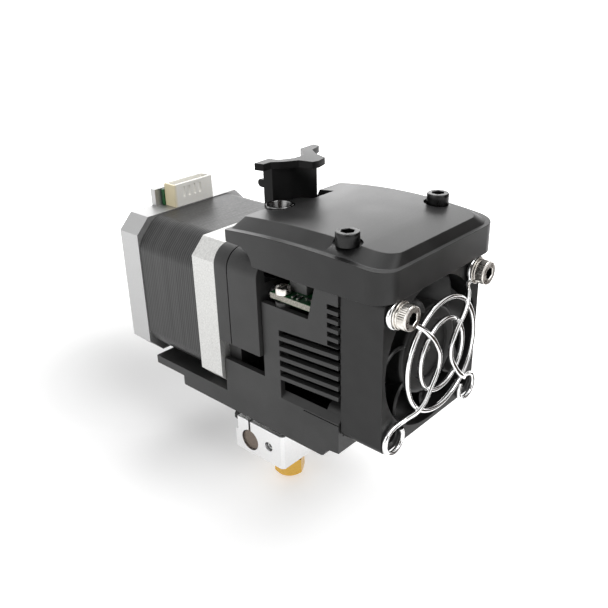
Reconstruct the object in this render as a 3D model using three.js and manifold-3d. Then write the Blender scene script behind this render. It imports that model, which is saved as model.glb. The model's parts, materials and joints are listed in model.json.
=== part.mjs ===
// A direct-drive print head: stepper motor at the back, moulded housing in the
// middle, a cooling fan in front, and the heater block with its nozzle below.
// Millimetres. X runs right, Y back along the motor shaft and Z up. Pieces are
// laid out from the point where the shaft axis meets the motor's front face,
// and the whole head is then set on the centre of its carriage face.

import * as THREE from 'three';
import { mergeVertices } from 'three/addons/utils/BufferGeometryUtils.js';
import Module from 'manifold-3d';

const wasm = await Module();
wasm.setup();

// Clearances and facets
const gap = 0.3; // between separate pieces that seat or run on each other
const weldSink = 0.2; // how far welded or moulded-on features sink into their body
const overrun = 1; // how far a cutter passes the face that it opens
const roundSides = 28;
const midSides = 16;
const smallSides = 10;
const tinySides = 8;
const cornerSteps = 4;

// Stepper motor, on the shaft axis
const motor = {
  side: 42.3, length: 40, corner: 4.35, frontCap: 8.5, rearCap: 8,
  pilotRadius: 11, pilotHeight: 2, screwPitch: 31, boreRadius: 4,
  stackCorner: 6.4, stackInset: 0.25,
  statorRadius: 13, slotRadius: 17.6, toothWidth: 4, teeth: 8, coilWall: 1.5, overhang: 1.5,
  cavityRadius: 18.4, rotorRadius: 12.5, rotorEnds: 2.6, magnetWidth: 1.6, magnetInset: 0.9,
};
const shaft = { radius: 2.5, reach: 17, flat: 2, flatLength: 12 };
const bearing = { outer: 8, width: 5 };
const motorScrew = {
  radius: 1.5, headRadius: 2.6, headHeight: 1.9, sink: 2.6, thread: 5, slot: 0.6,
  slotDepth: 0.8, hex: 1.2,
};
const plug = {
  centre: 0.7, width: 14.5, depth: 4.6, height: 6.7, wall: 0.8, pins: 6, pitch: 2, pin: 0.5, pinRise: 4.4,
  setback: 0.2, slotWidth: 0.7, slotDepth: 0.4, slotRise: 2.6, slotLength: 3, slots: 4,
};
const plugWall = { overlap: 2.6, depth: 2, rise: 5 };

// Feed: gear on the shaft, roller and lever on the left, filament between them
const feed = { front: 10, filament: 0.875 };
const gear = { tip: 5.6, groove: 5.5, root: 5.1, toothed: 6.2, teeth: 24, hub: 4.6, hubLength: 3.4 };
const grub = { radius: 1.4, length: 2 };
const plate = { depth: 4.6, corner: 5.3, skirt: -5.2, footInset: 2.7, foot: -20.6 };
const lever = {
  width: 10.4, floor: -5.2, thickness: 3, slotWidth: 4.6, padWall: 2.2, pivotRise: 10.6,
  pivotInset: 6.4,
};
const tubeBlock = { left: 3.9, right: 3.9, front: 3.5, floor: 10, top: 20 };
const pin = { radius: 1.5, head: 2.6, headHeight: 0.8 };
const roller = { outer: 5, inner: 2.9, axle: 1.5, width: 4, shield: 0.4 };
const spring = { outer: 2.2, wire: 0.4, turns: 5, sides: 5, steps: 8, rise: 17.3 };
const guide = { outer: 2, bore: 1.1, top: -6.6, foot: -14 };

// Housing shell, its vents, board window and foot
const shell = {
  centre: 0.5, slack: 1.3, front: 40.2, floor: -27, floorWall: 2.4, wall: 1.6, top: 24, rearWall: -11.2,
  pocketFront: 15.6, panelTop: 10.1, windowFront: 31, windowLean: 2.2, windowTop: 18.7, hook: 34.2,
  hookRadius: 1.6,
  stepFront: 37.3, stepRise: 2.7, lipRise: 3, lipTop: -19.6, lipWall: 1.8, beamBase: 21, breakHole: 4.2,
};
const fanBoss = { radius: 3.2, length: 5 };
const foot = { top: -21.5, root: 2, setback: 9, thickLength: 18.8, thin: 2.5 };
const footHole = { y: 9, spread: 12, radius: 1.5, depth: 4 };
const vent = { count: 6, pitch: 2.82, height: 1.7, top: 4.1, rear: 21.2, rise: 1.1, drop: 2.2, ledge: 1.6 };
const shortVent = { count: 5, pitch: 2.32, height: 1.3, top: 15.9, length: 3.3 };

// Cooling: finned block behind the fan
const sink = {
  blockHalf: 12, half: 15, shaftRoom: 0.6, blockTop: -8, wall: 2, front: 35.2, top: 7.6, base: -23.8,
  fin: 1.2, fins: 10,
};
const sinkScrew = {
  x: 4, y: -14.5, radius: 1.5, headRadius: 2.6, head: 1.3, length: 6, hex: 1.1,
  hexDepth: 0.8,
};
const fan = {
  side: 40, depth: 12, lift: 0.7, corner: 2.2, heel: 2.4, bore: 18.9, holeInset: 4, hole: 1.8, base: 10.5,
  baseWall: 1.6,
  struts: 3, strut: 2.2, tube: 3.6, tubeLength: 6, hub: 11.5, hubDepth: 8, hubWall: 1.2, recess: 1,
  blades: 7,
  bladeWall: 0.8, bladeTip: 18.2, bladeDepth: 7.6, bladeTwist: 34, bladeSweep: 16, shaft: 1, poles: 4,
  poleTip: 8.6, poleWidth: 3, core: 4.2,
};
const guard = {
  wire: 0.65, outerRing: 14.2, innerRing: 9, ringStand: 2.6, armStand: 3.55, eyelet: 2.9, eyeletOut: 0.4,
  rest: 0.1,
  ringSteps: 24, armSteps: 38, sides: 5, hook: 3.45, hookDrop: 1, hookFrom: 75, hookTo: -215, hookSteps: 8,
};
// Across and up from the fan's middle, as shares of half the hole pitch, and out, as a share of the arm's
// stand
const guardArmShares = [
  [0.91, 0.88, 0], [0.81, 0.82, 0], [0.69, 0.74, 0.55], [0.5, 0.56, 1], [0.26, 0.28, 1], [0.15, 0, 1],
  [0.34, -0.38, 1],
  [0.62, -0.66, 0.9], [0.8, -0.78, 0.3],
];
const fanScrew = {
  radius: 1.5, headRadius: 2.95, head: 2.4, hex: 1.4, hexDepth: 1.3, washer: 3.3, washerWall: 0.4,
  bore: 1.7,
  springWall: 0.5, springOuter: 3, grip: 4.5,
};

// Hot side, about the filament
const block = {
  left: 7.6, right: 8.4, front: 4.8, rear: 14.3, top: -34.4, height: 10.9, chamfer: 0.8, step: 1,
  stepDrop: 4.6,
  cartridgeBack: 8.46, cartridgeDrop: 6.55, slit: 0.8, bore: 3.2, grubBack: 0.8, grubDrop: 5.4,
};
const breakTube = {
  radius: 2.9, neck: 1.8, bore: 1.1, topThread: 6, into: 6.9, neckTop: -25,
  neckFoot: -33.6,
};
const nozzle = {
  thread: 2.9, hex: 4, hexTop: 0.5, hexHeight: 4.6, coneBase: 2.6, tip: 0.7, cone: 2.2, bore: 0.9,
  orifice: 0.3,
};
const cartridge = { radius: 3, setback: 0.5, boot: 2.2, leads: 0.8, spread: 1.1, tail: 3 };
const probe = { radius: 1.1, drop: 4, length: 4.2, tail: 2 };
const blockGrub = { radius: 1.2, length: 3, recess: 0.8 };
const clampScrew = {
  left: 4, drop: 1.9, radius: 1.2, reach: 8.5, headRadius: 2.2, head: 2.6, hex: 1,
  hexDepth: 1.2,
};

// Circuit board under the lid
const board = {
  insetLeft: 1, insetRight: 2.1, wall: 1.6, under: 11.5, pinRoom: 1.4, front: 30.9,
  screwInset: 1.4, screwSetback: 3.2, hole: 1.3,
};
const boardScrew = {
  radius: 1, headRadius: 1.75, head: 1.9, cross: 0.5, crossDepth: 0.7, boss: 2.1, bossFoot: 6.5,
  thread: 3.4,
};
const boardPlug = { left: -15.2, width: 7.2, rear: 21, length: 5.5, height: 5.4, wall: 0.9, floor: 1.2 };

// Lid
const lid = {
  centre: 1, overhang: 3.7, bow: 0.8, front: 54.5, rear: 6.2, corner: 5, skirt: 20.4, shoulder: 29.2,
  plateau: 31.4, rim: 1.5,
  rimEnds: 0.9, bevel: 3.8, bevelEnds: 1.2, wall: 1.5, crown: 1.6, crownMiddle: 31, crownReach: 24,
  edge: 0.8, sideSteps: 8,
  rearSkirt: 24.6, archMiddle: 11.6, archReach: 4.4, screwInset: 6.6, screwY: -41,
};
const lidScrew = {
  radius: 1.5, headRadius: 2.75, head: 3.2, hex: 1.4, hexDepth: 1.7, seat: 30.4, lug: 4.2, lugBase: 27.3,
  pocket: 3.5,
  reach: 8.4, post: 3.1,
};
const inlet = {
  tube: 2, bore: 1.1, floor: 6.6, top: 28.6, collar: 3.6, collarTop: 30.7, collarFoot: 26.4,
  mouth: 2.8,
};

// Upright cable bracket behind the filament inlet
const bracket = {
  top: 40.2, plateWall: 1.8, plateLeft: -7.75, plateWidth: 24, plateRear: 1.5, plateDepth: 12.8,
  wall: 1, left: -4.3, span: 14.6, face: 5.6, bow: 2.5, rear: 2.4, peg: 2.1, pegFoot: 33, pegHeight: 2.1,
  footLeft: -8.8, footFront: 7.6, footRear: 0.3, footWall: 1.75, screws: [-6.7, 4.4], screwY: -2.3,
  clearance: 0.5, clearLeft: 3.9, clearFront: 12.6,
};
// Front of the upright wall: across its span, and ahead of its left corner as shares of its bow
const bracketFaceShares = [[0, 0], [0.116, 0.32], [0.274, 0.64], [0.476, 1], [1, 0.92]];
// Outline of the top plate, across from its left end and ahead of its rear edge, as shares of its width
// and depth
const armLeftShares = [[0.232, 0.075], [0, 0.113], [0.028, 0.309], [0.135, 0.309], [0.225, 0.486]];
const barFrontShares = [[0.375, 0.655], [0.405, 0.961], [0.486, 1], [0.629, 0.924], [0.693, 0.587]];
const barRearShares = [[0.801, 0.297], [0.893, 0.252], [0.994, 0.169], [1, 0], [0.763, 0.026]];
const plateBackShares = [[0.581, 0.427], [0.497, 0.46], [0.411, 0.455], [0.254, 0.299]];
const bracketScrew = { radius: 1.2, headRadius: 1.9, head: 1.3, thread: 6, hex: 0.9, hexDepth: 0.7 };

// Worked-out places
const half = motor.side / 2;
const plateFront = -plate.depth;
const feedY = -feed.front;
const filamentX = -(gear.groove + feed.filament);
const rollerX = -(gear.tip + gap + roller.outer);
const leverX = -half;
const leverRear = plateFront - gap;
const leverFront = leverRear - lever.width;
const pivotX = leverX + lever.pivotInset;
const shellHalf = (motor.side - shell.slack) / 2;
const shellLeft = shell.centre - shellHalf;
const shellRight = shell.centre + shellHalf;
const shellFront = -shell.front;
const fanRear = shellFront - gap;
const fanFront = fanRear - fan.depth;
const fanX = shell.centre;
const fanZ = fan.lift;
const fanPitch = fan.side - 2 * fan.holeInset;
const boardLeft = shellLeft + board.insetLeft;
const boardRight = shellRight - board.insetRight;
const boardScrewX = [boardLeft + board.screwInset, boardRight - board.screwInset];
const boardTop = board.under + board.wall;
const boardRear = leverFront - gap - pin.headHeight - board.pinRoom;
const boardScrewY = boardRear - board.screwSetback;
const lidHalf = shellHalf + lid.overhang;
const lidScrewX = lidHalf - lid.screwInset;

// Shapes and solids

function solid(geometry) {
  const bare = geometry.index ? geometry.toNonIndexed() : geometry.clone();
  for (const name of Object.keys(bare.attributes)) {
    if (name !== 'position') bare.deleteAttribute(name);
  }
  const merged = mergeVertices(bare);
  const index = merged.index.array;
  const kept = [];
  for (let i = 0; i < index.length; i += 3) {
    const [a, b, c] = [index[i], index[i + 1], index[i + 2]];
    if (a !== b && b !== c && c !== a) kept.push(a, b, c);
  }
  return new wasm.Manifold(new wasm.Mesh({
    numProp: 3,
    vertProperties: Float32Array.from(merged.attributes.position.array),
    triVerts: Uint32Array.from(kept),
  }));
}

function join(first, ...others) {
  return others.reduce((whole, other) => whole.add(other), first);
}

function cut(first, ...tools) {
  return tools.reduce((whole, tool) => whole.subtract(tool), first);
}

function box(x0, x1, y0, y1, z0, z1) {
  const geometry = new THREE.BoxGeometry(Math.abs(x1 - x0), Math.abs(y1 - y0), Math.abs(z1 - z0));
  geometry.translate((x0 + x1) / 2, (y0 + y1) / 2, (z0 + z1) / 2);
  return solid(geometry);
}

function shapeOf(points) {
  return new THREE.Shape(points.map(([a, b]) => new THREE.Vector2(a, b)));
}

function roundedShape(a0, a1, b0, b1, radius) {
  const shape = new THREE.Shape();
  shape.absarc(a1 - radius, b0 + radius, radius, -Math.PI / 2, 0);
  shape.absarc(a1 - radius, b1 - radius, radius, 0, Math.PI / 2);
  shape.absarc(a0 + radius, b1 - radius, radius, Math.PI / 2, Math.PI);
  shape.absarc(a0 + radius, b0 + radius, radius, Math.PI, 1.5 * Math.PI);
  shape.closePath();
  return shape;
}

function cutSquareShape(side, corner) {
  const h = side / 2;
  const c = h - corner;
  return shapeOf([[-c, -h], [c, -h], [h, -c], [h, c], [c, h], [-c, h], [-h, c], [-h, -c]]);
}

function addHole(shape, a, b, radius) {
  const path = new THREE.Path();
  path.absarc(a, b, radius, 0, 2 * Math.PI, true);
  shape.holes.push(path);
}

function extrude(shape, depth, curveSegments) {
  return new THREE.ExtrudeGeometry(shape, { depth, bevelEnabled: false, curveSegments });
}

const axisX = new THREE.Vector3(1, 0, 0);
const axisY = new THREE.Vector3(0, 1, 0);
const axisZ = new THREE.Vector3(0, 0, 1);
const sideView = new THREE.Matrix4().makeBasis(axisY, axisZ, axisX);
const frontView = new THREE.Matrix4().makeBasis(axisX, axisZ, axisY.clone().negate());

// A (y, z) outline carried along X, an (x, z) outline along Y, an (x, y) outline along Z
function alongX(shape, x0, x1, steps = cornerSteps) {
  return solid(extrude(shape, x1 - x0, steps).applyMatrix4(sideView).translate(x0, 0, 0));
}

function alongY(shape, y0, y1, steps = cornerSteps) {
  return solid(extrude(shape, y1 - y0, steps).applyMatrix4(frontView).translate(0, y1, 0));
}

function alongZ(shape, z0, z1, steps = cornerSteps) {
  return solid(extrude(shape, z1 - z0, steps).translate(0, 0, z0));
}

function rodY(radius, x, z, y0, y1, sides = roundSides) {
  return solid(new THREE.CylinderGeometry(radius, radius, y1 - y0, sides).translate(x, (y0 + y1) / 2, z));
}

function rodZ(radius, x, y, z0, z1, sides = roundSides) {
  const geometry = new THREE.CylinderGeometry(radius, radius, z1 - z0, sides).rotateX(Math.PI / 2);
  return solid(geometry.translate(x, y, (z0 + z1) / 2));
}

function rodX(radius, y, z, x0, x1, sides = roundSides) {
  const geometry = new THREE.CylinderGeometry(radius, radius, x1 - x0, sides).rotateZ(-Math.PI / 2);
  return solid(geometry.translate((x0 + x1) / 2, y, z));
}

// A (radius, height) outline, anticlockwise, turned about Y or about Z
function turnedY(profile, sides = roundSides) {
  return solid(new THREE.LatheGeometry(profile.map(([r, h]) => new THREE.Vector2(r, h)), sides));
}

function turnedZ(profile, sides = roundSides) {
  const geometry = new THREE.LatheGeometry(profile.map(([r, h]) => new THREE.Vector2(r, h)), sides);
  return solid(geometry.rotateX(Math.PI / 2));
}

function ringY(outer, inner, y0, y1, sides = roundSides) {
  return turnedY([[inner, y0], [outer, y0], [outer, y1], [inner, y1], [inner, y0]], sides);
}

function ringZ(outer, inner, z0, z1, sides = roundSides) {
  return turnedZ([[inner, z0], [outer, z0], [outer, z1], [inner, z1], [inner, z0]], sides);
}

// Hexagon sockets, sunk along Y from a front face and along Z from a top face
function hexSocketY(flat, x, z, face, depth) {
  const radius = flat / Math.cos(Math.PI / 6);
  return rodY(radius, x, z, face - overrun, face + depth, 6);
}

function hexSocketZ(flat, x, y, face, depth) {
  const radius = flat / Math.cos(Math.PI / 6);
  return rodZ(radius, x, y, face - depth, face + overrun, 6);
}

// A round wire swept along a curve
function wireAlong(curve, radius, sides, steps, closed = false) {
  const section = shapeOf(Array.from({ length: sides }, (_, i) => {
    const angle = 2 * Math.PI * i / sides;
    return [radius * Math.cos(angle), radius * Math.sin(angle)];
  }));
  const path = closed ? Object.assign(curve, { closed: true }) : curve;
  return solid(new THREE.ExtrudeGeometry(section, { steps, bevelEnabled: false, extrudePath: path }));
}

function corners(halfPitch) {
  return [[-halfPitch, -halfPitch], [halfPitch, -halfPitch], [halfPitch, halfPitch],
    [-halfPitch, halfPitch]];
}

const sides = { left: -1, right: 1 };

// Finishes
const finishes = {
  castAlloy: { color: 0xb9b9b8, roughness: 0.45, metalness: 0.8 },
  paleAlloy: { color: 0xd9d8d5, roughness: 0.4, metalness: 0.8 },
  laminations: { color: 0x474645, roughness: 0.6, metalness: 0.4 },
  steel: { color: 0xb5b4b2, roughness: 0.3, metalness: 1 },
  chrome: { color: 0xe6e4e2, roughness: 0.12, metalness: 1 },
  blackSteel: { color: 0x1b1b1c, roughness: 0.35, metalness: 0.8 },
  blackPlastic: { color: 0x2c2c2d, roughness: 0.5, metalness: 0 },
  lidPlastic: { color: 0x303031, roughness: 0.42, metalness: 0 },
  fanPlastic: { color: 0x252526, roughness: 0.5, metalness: 0 },
  ivory: { color: 0xefe9d6, roughness: 0.5, metalness: 0 },
  copper: { color: 0xa4552c, roughness: 0.45, metalness: 0.7 },
  magnet: { color: 0x6b6a68, roughness: 0.5, metalness: 0.8 },
  brass: { color: 0xd2a03c, roughness: 0.3, metalness: 1 },
  aluminium: { color: 0xcfd0d1, roughness: 0.35, metalness: 1 },
  solderMask: { color: 0x17562d, roughness: 0.35, metalness: 0 },
  greyPlastic: { color: 0x77787a, roughness: 0.55, metalness: 0 },
  clearPolymer: { color: 0xe9e8e2, roughness: 0.4, metalness: 0 },
  ceramic: { color: 0x8c7f76, roughness: 0.7, metalness: 0.1 },
};

const head = new THREE.Group();

function place(name, finish, body) {
  const mesh = body.getMesh();
  const geometry = new THREE.BufferGeometry();
  geometry.setAttribute('position', new THREE.BufferAttribute(Float32Array.from(mesh.vertProperties), 3));
  geometry.setIndex(new THREE.BufferAttribute(Uint32Array.from(mesh.triVerts), 1));
  geometry.computeVertexNormals();
  const piece = new THREE.Mesh(geometry, new THREE.MeshStandardMaterial(finishes[finish]));
  piece.name = name;
  head.add(piece);
}

// Motor

const stackFront = motor.frontCap;
const stackRear = motor.length - motor.rearCap;
const cavity = motor.overhang + gap;
const screwPlaces = corners(motor.screwPitch / 2);
const frontBearingY = stackFront - cavity - bearing.width;
const rearBearingY = stackRear + cavity;

function frontCap() {
  const body = join(
    alongY(cutSquareShape(motor.side, motor.corner), 0, stackFront),
    rodY(motor.pilotRadius, 0, 0, -motor.pilotHeight, weldSink),
  );
  return cut(
    body,
    rodY(motor.cavityRadius, 0, 0, stackFront - cavity, stackFront + overrun),
    rodY(bearing.outer + gap, 0, 0, frontBearingY, stackFront),
    rodY(motor.boreRadius, 0, 0, -motor.pilotHeight - overrun, stackFront, smallSides),
    ...screwPlaces.map(([x, z]) => rodY(motorScrew.radius + gap, x, z, -overrun, stackFront + overrun,
      smallSides)),
  );
}

function rearCap() {
  const humpLeft = plug.centre - plug.width / 2 - plugWall.overlap;
  const humpRight = plug.centre + plug.width / 2 + plugWall.overlap;
  const body = join(
    alongY(cutSquareShape(motor.side, motor.corner), stackRear, motor.length),
    box(humpLeft, humpRight, motor.length - plugWall.depth, motor.length, half - weldSink,
      half + plugWall.rise),
  );
  return cut(
    body,
    rodY(motor.cavityRadius, 0, 0, stackRear - overrun, stackRear + cavity),
    rodY(bearing.outer + gap, 0, 0, stackRear, rearBearingY + bearing.width),
    ...screwPlaces.flatMap(([x, z]) => [
      rodY(motorScrew.radius + gap, x, z, stackRear - overrun, motor.length + overrun, smallSides),
      rodY(motorScrew.headRadius + gap, x, z, motor.length - motorScrew.sink, motor.length + overrun,
        smallSides),
    ]),
  );
}

// Eight poles point inwards from a square yoke
function stack() {
  const outline = cutSquareShape(motor.side - 2 * motor.stackInset, motor.stackCorner);
  const opening = new THREE.Path();
  const step = 2 * Math.PI / motor.teeth;
  const innerHalf = Math.asin(motor.toothWidth / 2 / motor.statorRadius);
  const outerHalf = Math.asin(motor.toothWidth / 2 / motor.slotRadius);
  const points = [];
  for (let i = motor.teeth; i > 0; i -= 1) {
    const pole = i * step;
    for (const angle of [pole + step / 2, pole + step / 4, pole + outerHalf]) {
      points.push(new THREE.Vector2(motor.slotRadius * Math.cos(angle),
        motor.slotRadius * Math.sin(angle)));
    }
    for (const angle of [pole + innerHalf, pole, pole - innerHalf]) {
      points.push(new THREE.Vector2(motor.statorRadius * Math.cos(angle),
        motor.statorRadius * Math.sin(angle)));
    }
    for (const angle of [pole - outerHalf, pole - step / 4]) {
      points.push(new THREE.Vector2(motor.slotRadius * Math.cos(angle),
        motor.slotRadius * Math.sin(angle)));
    }
  }
  opening.setFromPoints(points);
  outline.holes.push(opening);
  return cut(
    alongY(outline, stackFront, stackRear),
    ...screwPlaces.map(([x, z]) => rodY(motorScrew.radius + gap, x, z, stackFront - overrun,
      stackRear + overrun, smallSides)),
  );
}

function coils() {
  const inner = motor.statorRadius + gap;
  const outer = motor.slotRadius * Math.cos(Math.PI / motor.teeth) - gap;
  const width = motor.toothWidth / 2 + gap;
  const around = width + motor.coilWall;
  const coil = cut(
    box(inner, outer, stackFront - motor.overhang, stackRear + motor.overhang, -around, around),
    box(inner - overrun, outer + overrun, stackFront - gap, stackRear + gap, -width, width),
  );
  const turns = Array.from({ length: motor.teeth }, (_, i) => coil.rotate([0, 360 * i / motor.teeth, 0]));
  return join(ringY(outer, inner, stackFront - motor.overhang, stackFront - 2 * gap), ...turns);
}

function bearingRing(y0) {
  const y1 = y0 + bearing.width;
  const inner = shaft.radius + gap;
  return ringY(bearing.outer, inner, y0, y1, midSides);
}

function rearScrew(x, z) {
  const seat = motor.length - motorScrew.sink;
  const headFace = seat + motorScrew.headHeight;
  return cut(
    join(
      rodY(motorScrew.radius, x, z, stackFront - motorScrew.thread, seat + weldSink, smallSides),
      rodY(motorScrew.headRadius, x, z, seat, headFace, smallSides),
    ),
    box(
      x - motorScrew.slot / 2, x + motorScrew.slot / 2, headFace - motorScrew.slotDepth, motor.length,
      z - motorScrew.headRadius - overrun, z + motorScrew.headRadius + overrun,
    ),
  );
}

const plugFront = stackRear + plug.setback;
const plugRear = plugFront + plug.depth;
const plugTop = half + plug.height;

function motorConnector() {
  const x0 = plug.centre - plug.width / 2;
  const x1 = plug.centre + plug.width / 2;
  const body = box(x0, x1, plugFront, plugRear, half, plugTop);
  const well = box(x0 + plug.wall, x1 - plug.wall, plugFront + plug.wall, plugRear - plug.wall,
    half + plug.wall, plugTop + overrun);
  const first = plug.centre - plug.pitch * (plug.slots / 2 + 1 / 2);
  const slots = Array.from({ length: plug.slots }, (_, i) => {
    const x = first + plug.pitch * (i + 1 / 2);
    return box(x, x + plug.slotWidth, plugFront - overrun, plugFront + plug.slotDepth,
      half + plug.slotRise, half + plug.slotRise + plug.slotLength);
  });
  return cut(body, well, ...slots);
}

function connectorPins() {
  const y = (plugFront + plugRear) / 2;
  const floor = half + plug.wall;
  const first = plug.centre - plug.pitch * (plug.pins - 1) / 2;
  const strip = box(first, first + plug.pitch * (plug.pins - 1), y - plug.pin / 2, y + plug.pin / 2, floor,
    floor + plug.pin);
  return join(strip, ...Array.from({ length: plug.pins }, (_, i) => {
    const x = first + i * plug.pitch;
    return box(x - plug.pin / 2, x + plug.pin / 2, y - plug.pin / 2, y + plug.pin / 2, floor,
      floor + plug.pinRise);
  }));
}

function motorShaft() {
  const rear = rearBearingY + bearing.width - gap;
  const flatX = shaft.flat;
  return cut(
    rodY(shaft.radius, 0, 0, -shaft.reach, rear, roundSides),
    box(flatX, shaft.radius + overrun, -shaft.reach - overrun, -shaft.reach + shaft.flatLength,
      -shaft.radius - overrun, shaft.radius + overrun),
  );
}

function motorRotor() {
  const y0 = stackFront + motor.rotorEnds;
  const y1 = stackRear - motor.rotorEnds;
  const middle = (y0 + y1) / 2;
  const bore = shaft.radius + gap;
  const waist = motor.rotorRadius - motor.magnetInset;
  const h = motor.magnetWidth / 2;
  return turnedY([
    [bore, y0], [motor.rotorRadius, y0], [motor.rotorRadius, middle - h], [waist, middle - h],
    [waist, middle + h], [motor.rotorRadius, middle + h], [motor.rotorRadius, y1], [bore, y1], [bore, y0],
  ], midSides);
}

place('motor_front_cap', 'paleAlloy', frontCap());
place('motor_stack', 'laminations', stack());
place('motor_rear_cap', 'castAlloy', rearCap());
place('motor_coils', 'copper', coils());
place('motor_front_bearing', 'steel', bearingRing(frontBearingY));
place('motor_rear_bearing', 'steel', bearingRing(rearBearingY));
screwPlaces.forEach(([x, z], i) => place(`motor_screw_${i + 1}`, 'steel', rearScrew(x, z)));
place('motor_connector', 'ivory', motorConnector());
place('motor_connector_pins', 'steel', connectorPins());
place('motor_shaft', 'steel', motorShaft());
place('motor_rotor', 'magnet', motorRotor());

// Feed mechanism

const gearFront = feedY - gear.toothed / 2;
const gearHubFront = gearFront - gear.hubLength;

// The toothed part is centred on the filament, with the hub ahead of it
function driveGear() {
  const front = gearFront;
  const rear = front + gear.toothed;
  const points = [];
  for (let i = 0; i < gear.teeth; i += 1) {
    const at = 2 * Math.PI * i / gear.teeth;
    const quarter = Math.PI / gear.teeth / 2;
    for (const [angle, r] of [[at - quarter, gear.tip], [at + quarter, gear.tip],
      [at + 2 * quarter, gear.root]]) {
      points.push([r * Math.cos(angle), r * Math.sin(angle)]);
    }
  }
  const toothed = alongY(shapeOf(points), front, rear);
  const hub = rodY(gear.hub, 0, 0, gearHubFront, front + weldSink);
  const screwY = front - gear.hubLength / 2;
  return cut(
    join(toothed, hub),
    rodY(shaft.radius + gap, 0, 0, gearHubFront - overrun, rear + overrun),
    rodX(grub.radius + gap, screwY, 0, 0, gear.hub + overrun, smallSides),
  );
}

function gearGrub() {
  const y = gearFront - gear.hubLength / 2;
  return rodX(grub.radius, y, 0, shaft.flat + gap, shaft.flat + gap + grub.length, smallSides);
}

// Motor-sized plate with two round shoulders, narrowed below the lever
function mountPlate() {
  const shape = new THREE.Shape();
  const low = shellHalf - plate.footInset;
  shape.moveTo(-low, plate.foot);
  shape.lineTo(low, plate.foot);
  shape.lineTo(low, plate.skirt);
  shape.lineTo(half, plate.skirt);
  shape.absarc(half - plate.corner, half - plate.corner, plate.corner, 0, Math.PI / 2);
  shape.absarc(-half + plate.corner, half - plate.corner, plate.corner, Math.PI / 2, Math.PI);
  shape.lineTo(-half, plate.skirt);
  shape.lineTo(-low, plate.skirt);
  shape.closePath();
  addHole(shape, 0, 0, motor.pilotRadius + gap);
  const tubeSeat = box(
    filamentX - tubeBlock.left, filamentX + tubeBlock.right, feedY - tubeBlock.front, plateFront + weldSink,
    tubeBlock.floor, tubeBlock.top,
  );
  return cut(
    join(alongY(shape, plateFront, 0, 2 * cornerSteps), tubeSeat),
    rodZ(inlet.tube + gap, filamentX, feedY, tubeBlock.floor - overrun, tubeBlock.top + overrun,
      smallSides),
    ...bracket.screws.map((x) => rodZ(
      bracketScrew.radius + gap, x, bracket.screwY, half - bracketScrew.thread, half + overrun,
        smallSides)),
    ...screwPlaces.map(([x, z]) => rodY(motorScrew.radius + gap, x, z, plateFront - overrun, overrun,
      smallSides)),
    rodY(pin.radius + gap, pivotX, lever.pivotRise, plateFront - overrun, plateFront + plate.depth / 2,
      smallSides),
  );
}

function mountScrew(x, z) {
  const seat = plateFront;
  const face = seat - motorScrew.headHeight;
  return cut(
    join(
      rodY(motorScrew.radius, x, z, seat - weldSink, motorScrew.thread / 2, smallSides),
      rodY(motorScrew.headRadius, x, z, face, seat, smallSides),
    ),
    hexSocketY(motorScrew.hex, x, z, face, motorScrew.slotDepth),
  );
}

// Side lever: outer wall flush with the plate, two cheeks that carry the roller
function idlerLever() {
  const shape = new THREE.Shape();
  const x0 = leverX;
  const pad = x0 + lever.thickness;
  shape.moveTo(x0, lever.floor);
  shape.lineTo(pad, lever.floor);
  shape.lineTo(rollerX, -roller.axle - lever.padWall);
  shape.absarc(rollerX, 0, roller.axle + lever.padWall, -Math.PI / 2, Math.PI / 4);
  shape.lineTo(pivotX + pin.radius + lever.padWall, lever.pivotRise);
  shape.absarc(pivotX, lever.pivotRise, pin.radius + lever.padWall, 0, Math.PI / 2);
  shape.lineTo(pad, lever.pivotRise + pin.radius + lever.padWall);
  shape.lineTo(pad, spring.rise + spring.outer + gap);
  shape.lineTo(x0 + plate.corner, spring.rise + spring.outer + gap);
  shape.lineTo(x0 + plate.corner, half);
  shape.absarc(x0 + plate.corner, half - plate.corner, plate.corner, Math.PI / 2, Math.PI);
  shape.closePath();
  const body = alongY(shape, leverFront, leverRear, cornerSteps + 1);
  const slot = lever.slotWidth / 2;
  return cut(
    body,
    box(pad, rollerX + roller.outer + overrun, feedY - slot, feedY + slot, lever.floor - overrun,
      roller.outer + gap),
    rodY(roller.axle + gap, rollerX, 0, leverFront - overrun, leverRear + overrun, smallSides),
    rodY(pin.radius + gap, pivotX, lever.pivotRise, leverFront - overrun, leverRear + overrun, smallSides),
  );
}

function rollerAxle() {
  return rodY(roller.axle, rollerX, 0, leverFront + gap, leverRear - gap, smallSides);
}

function idlerRoller() {
  const y0 = feedY - roller.width / 2;
  const y1 = feedY + roller.width / 2;
  const bore = roller.axle + gap;
  const lip = (roller.outer + roller.inner) / 2;
  const ring = turnedY([
    [bore, y0], [roller.inner, y0], [roller.inner, y0 + roller.shield], [lip, y0 + roller.shield],
      [lip, y0],
    [roller.outer, y0], [roller.outer, y1], [bore, y1], [bore, y0],
  ], midSides);
  return ring.translate([rollerX, 0, 0]);
}

function pivotPin() {
  return join(
    rodY(pin.radius, pivotX, lever.pivotRise, leverFront - gap - weldSink,
      plateFront + plate.depth / 2 - gap, smallSides),
    rodY(pin.head, pivotX, lever.pivotRise, leverFront - gap - pin.headHeight, leverFront - gap,
      smallSides),
  );
}

// Nearest that one turn of a coil comes to another, wire to wire
function leastGap(curve, coil) {
  const perTurn = coil.steps * 4;
  const points = curve.getPoints(coil.turns * perTurn);
  let least = Infinity;
  points.forEach((point, i) => {
    for (const other of points.slice(i + perTurn / 2)) {
      least = Math.min(least, point.distanceTo(other) - 2 * coil.wire);
    }
  });
  return least;
}

// Spring between the lever's upper pad and a post on the plate
const springX0 = leverX + lever.thickness + gap;
const springX1 = filamentX - tubeBlock.left - gap;

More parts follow.
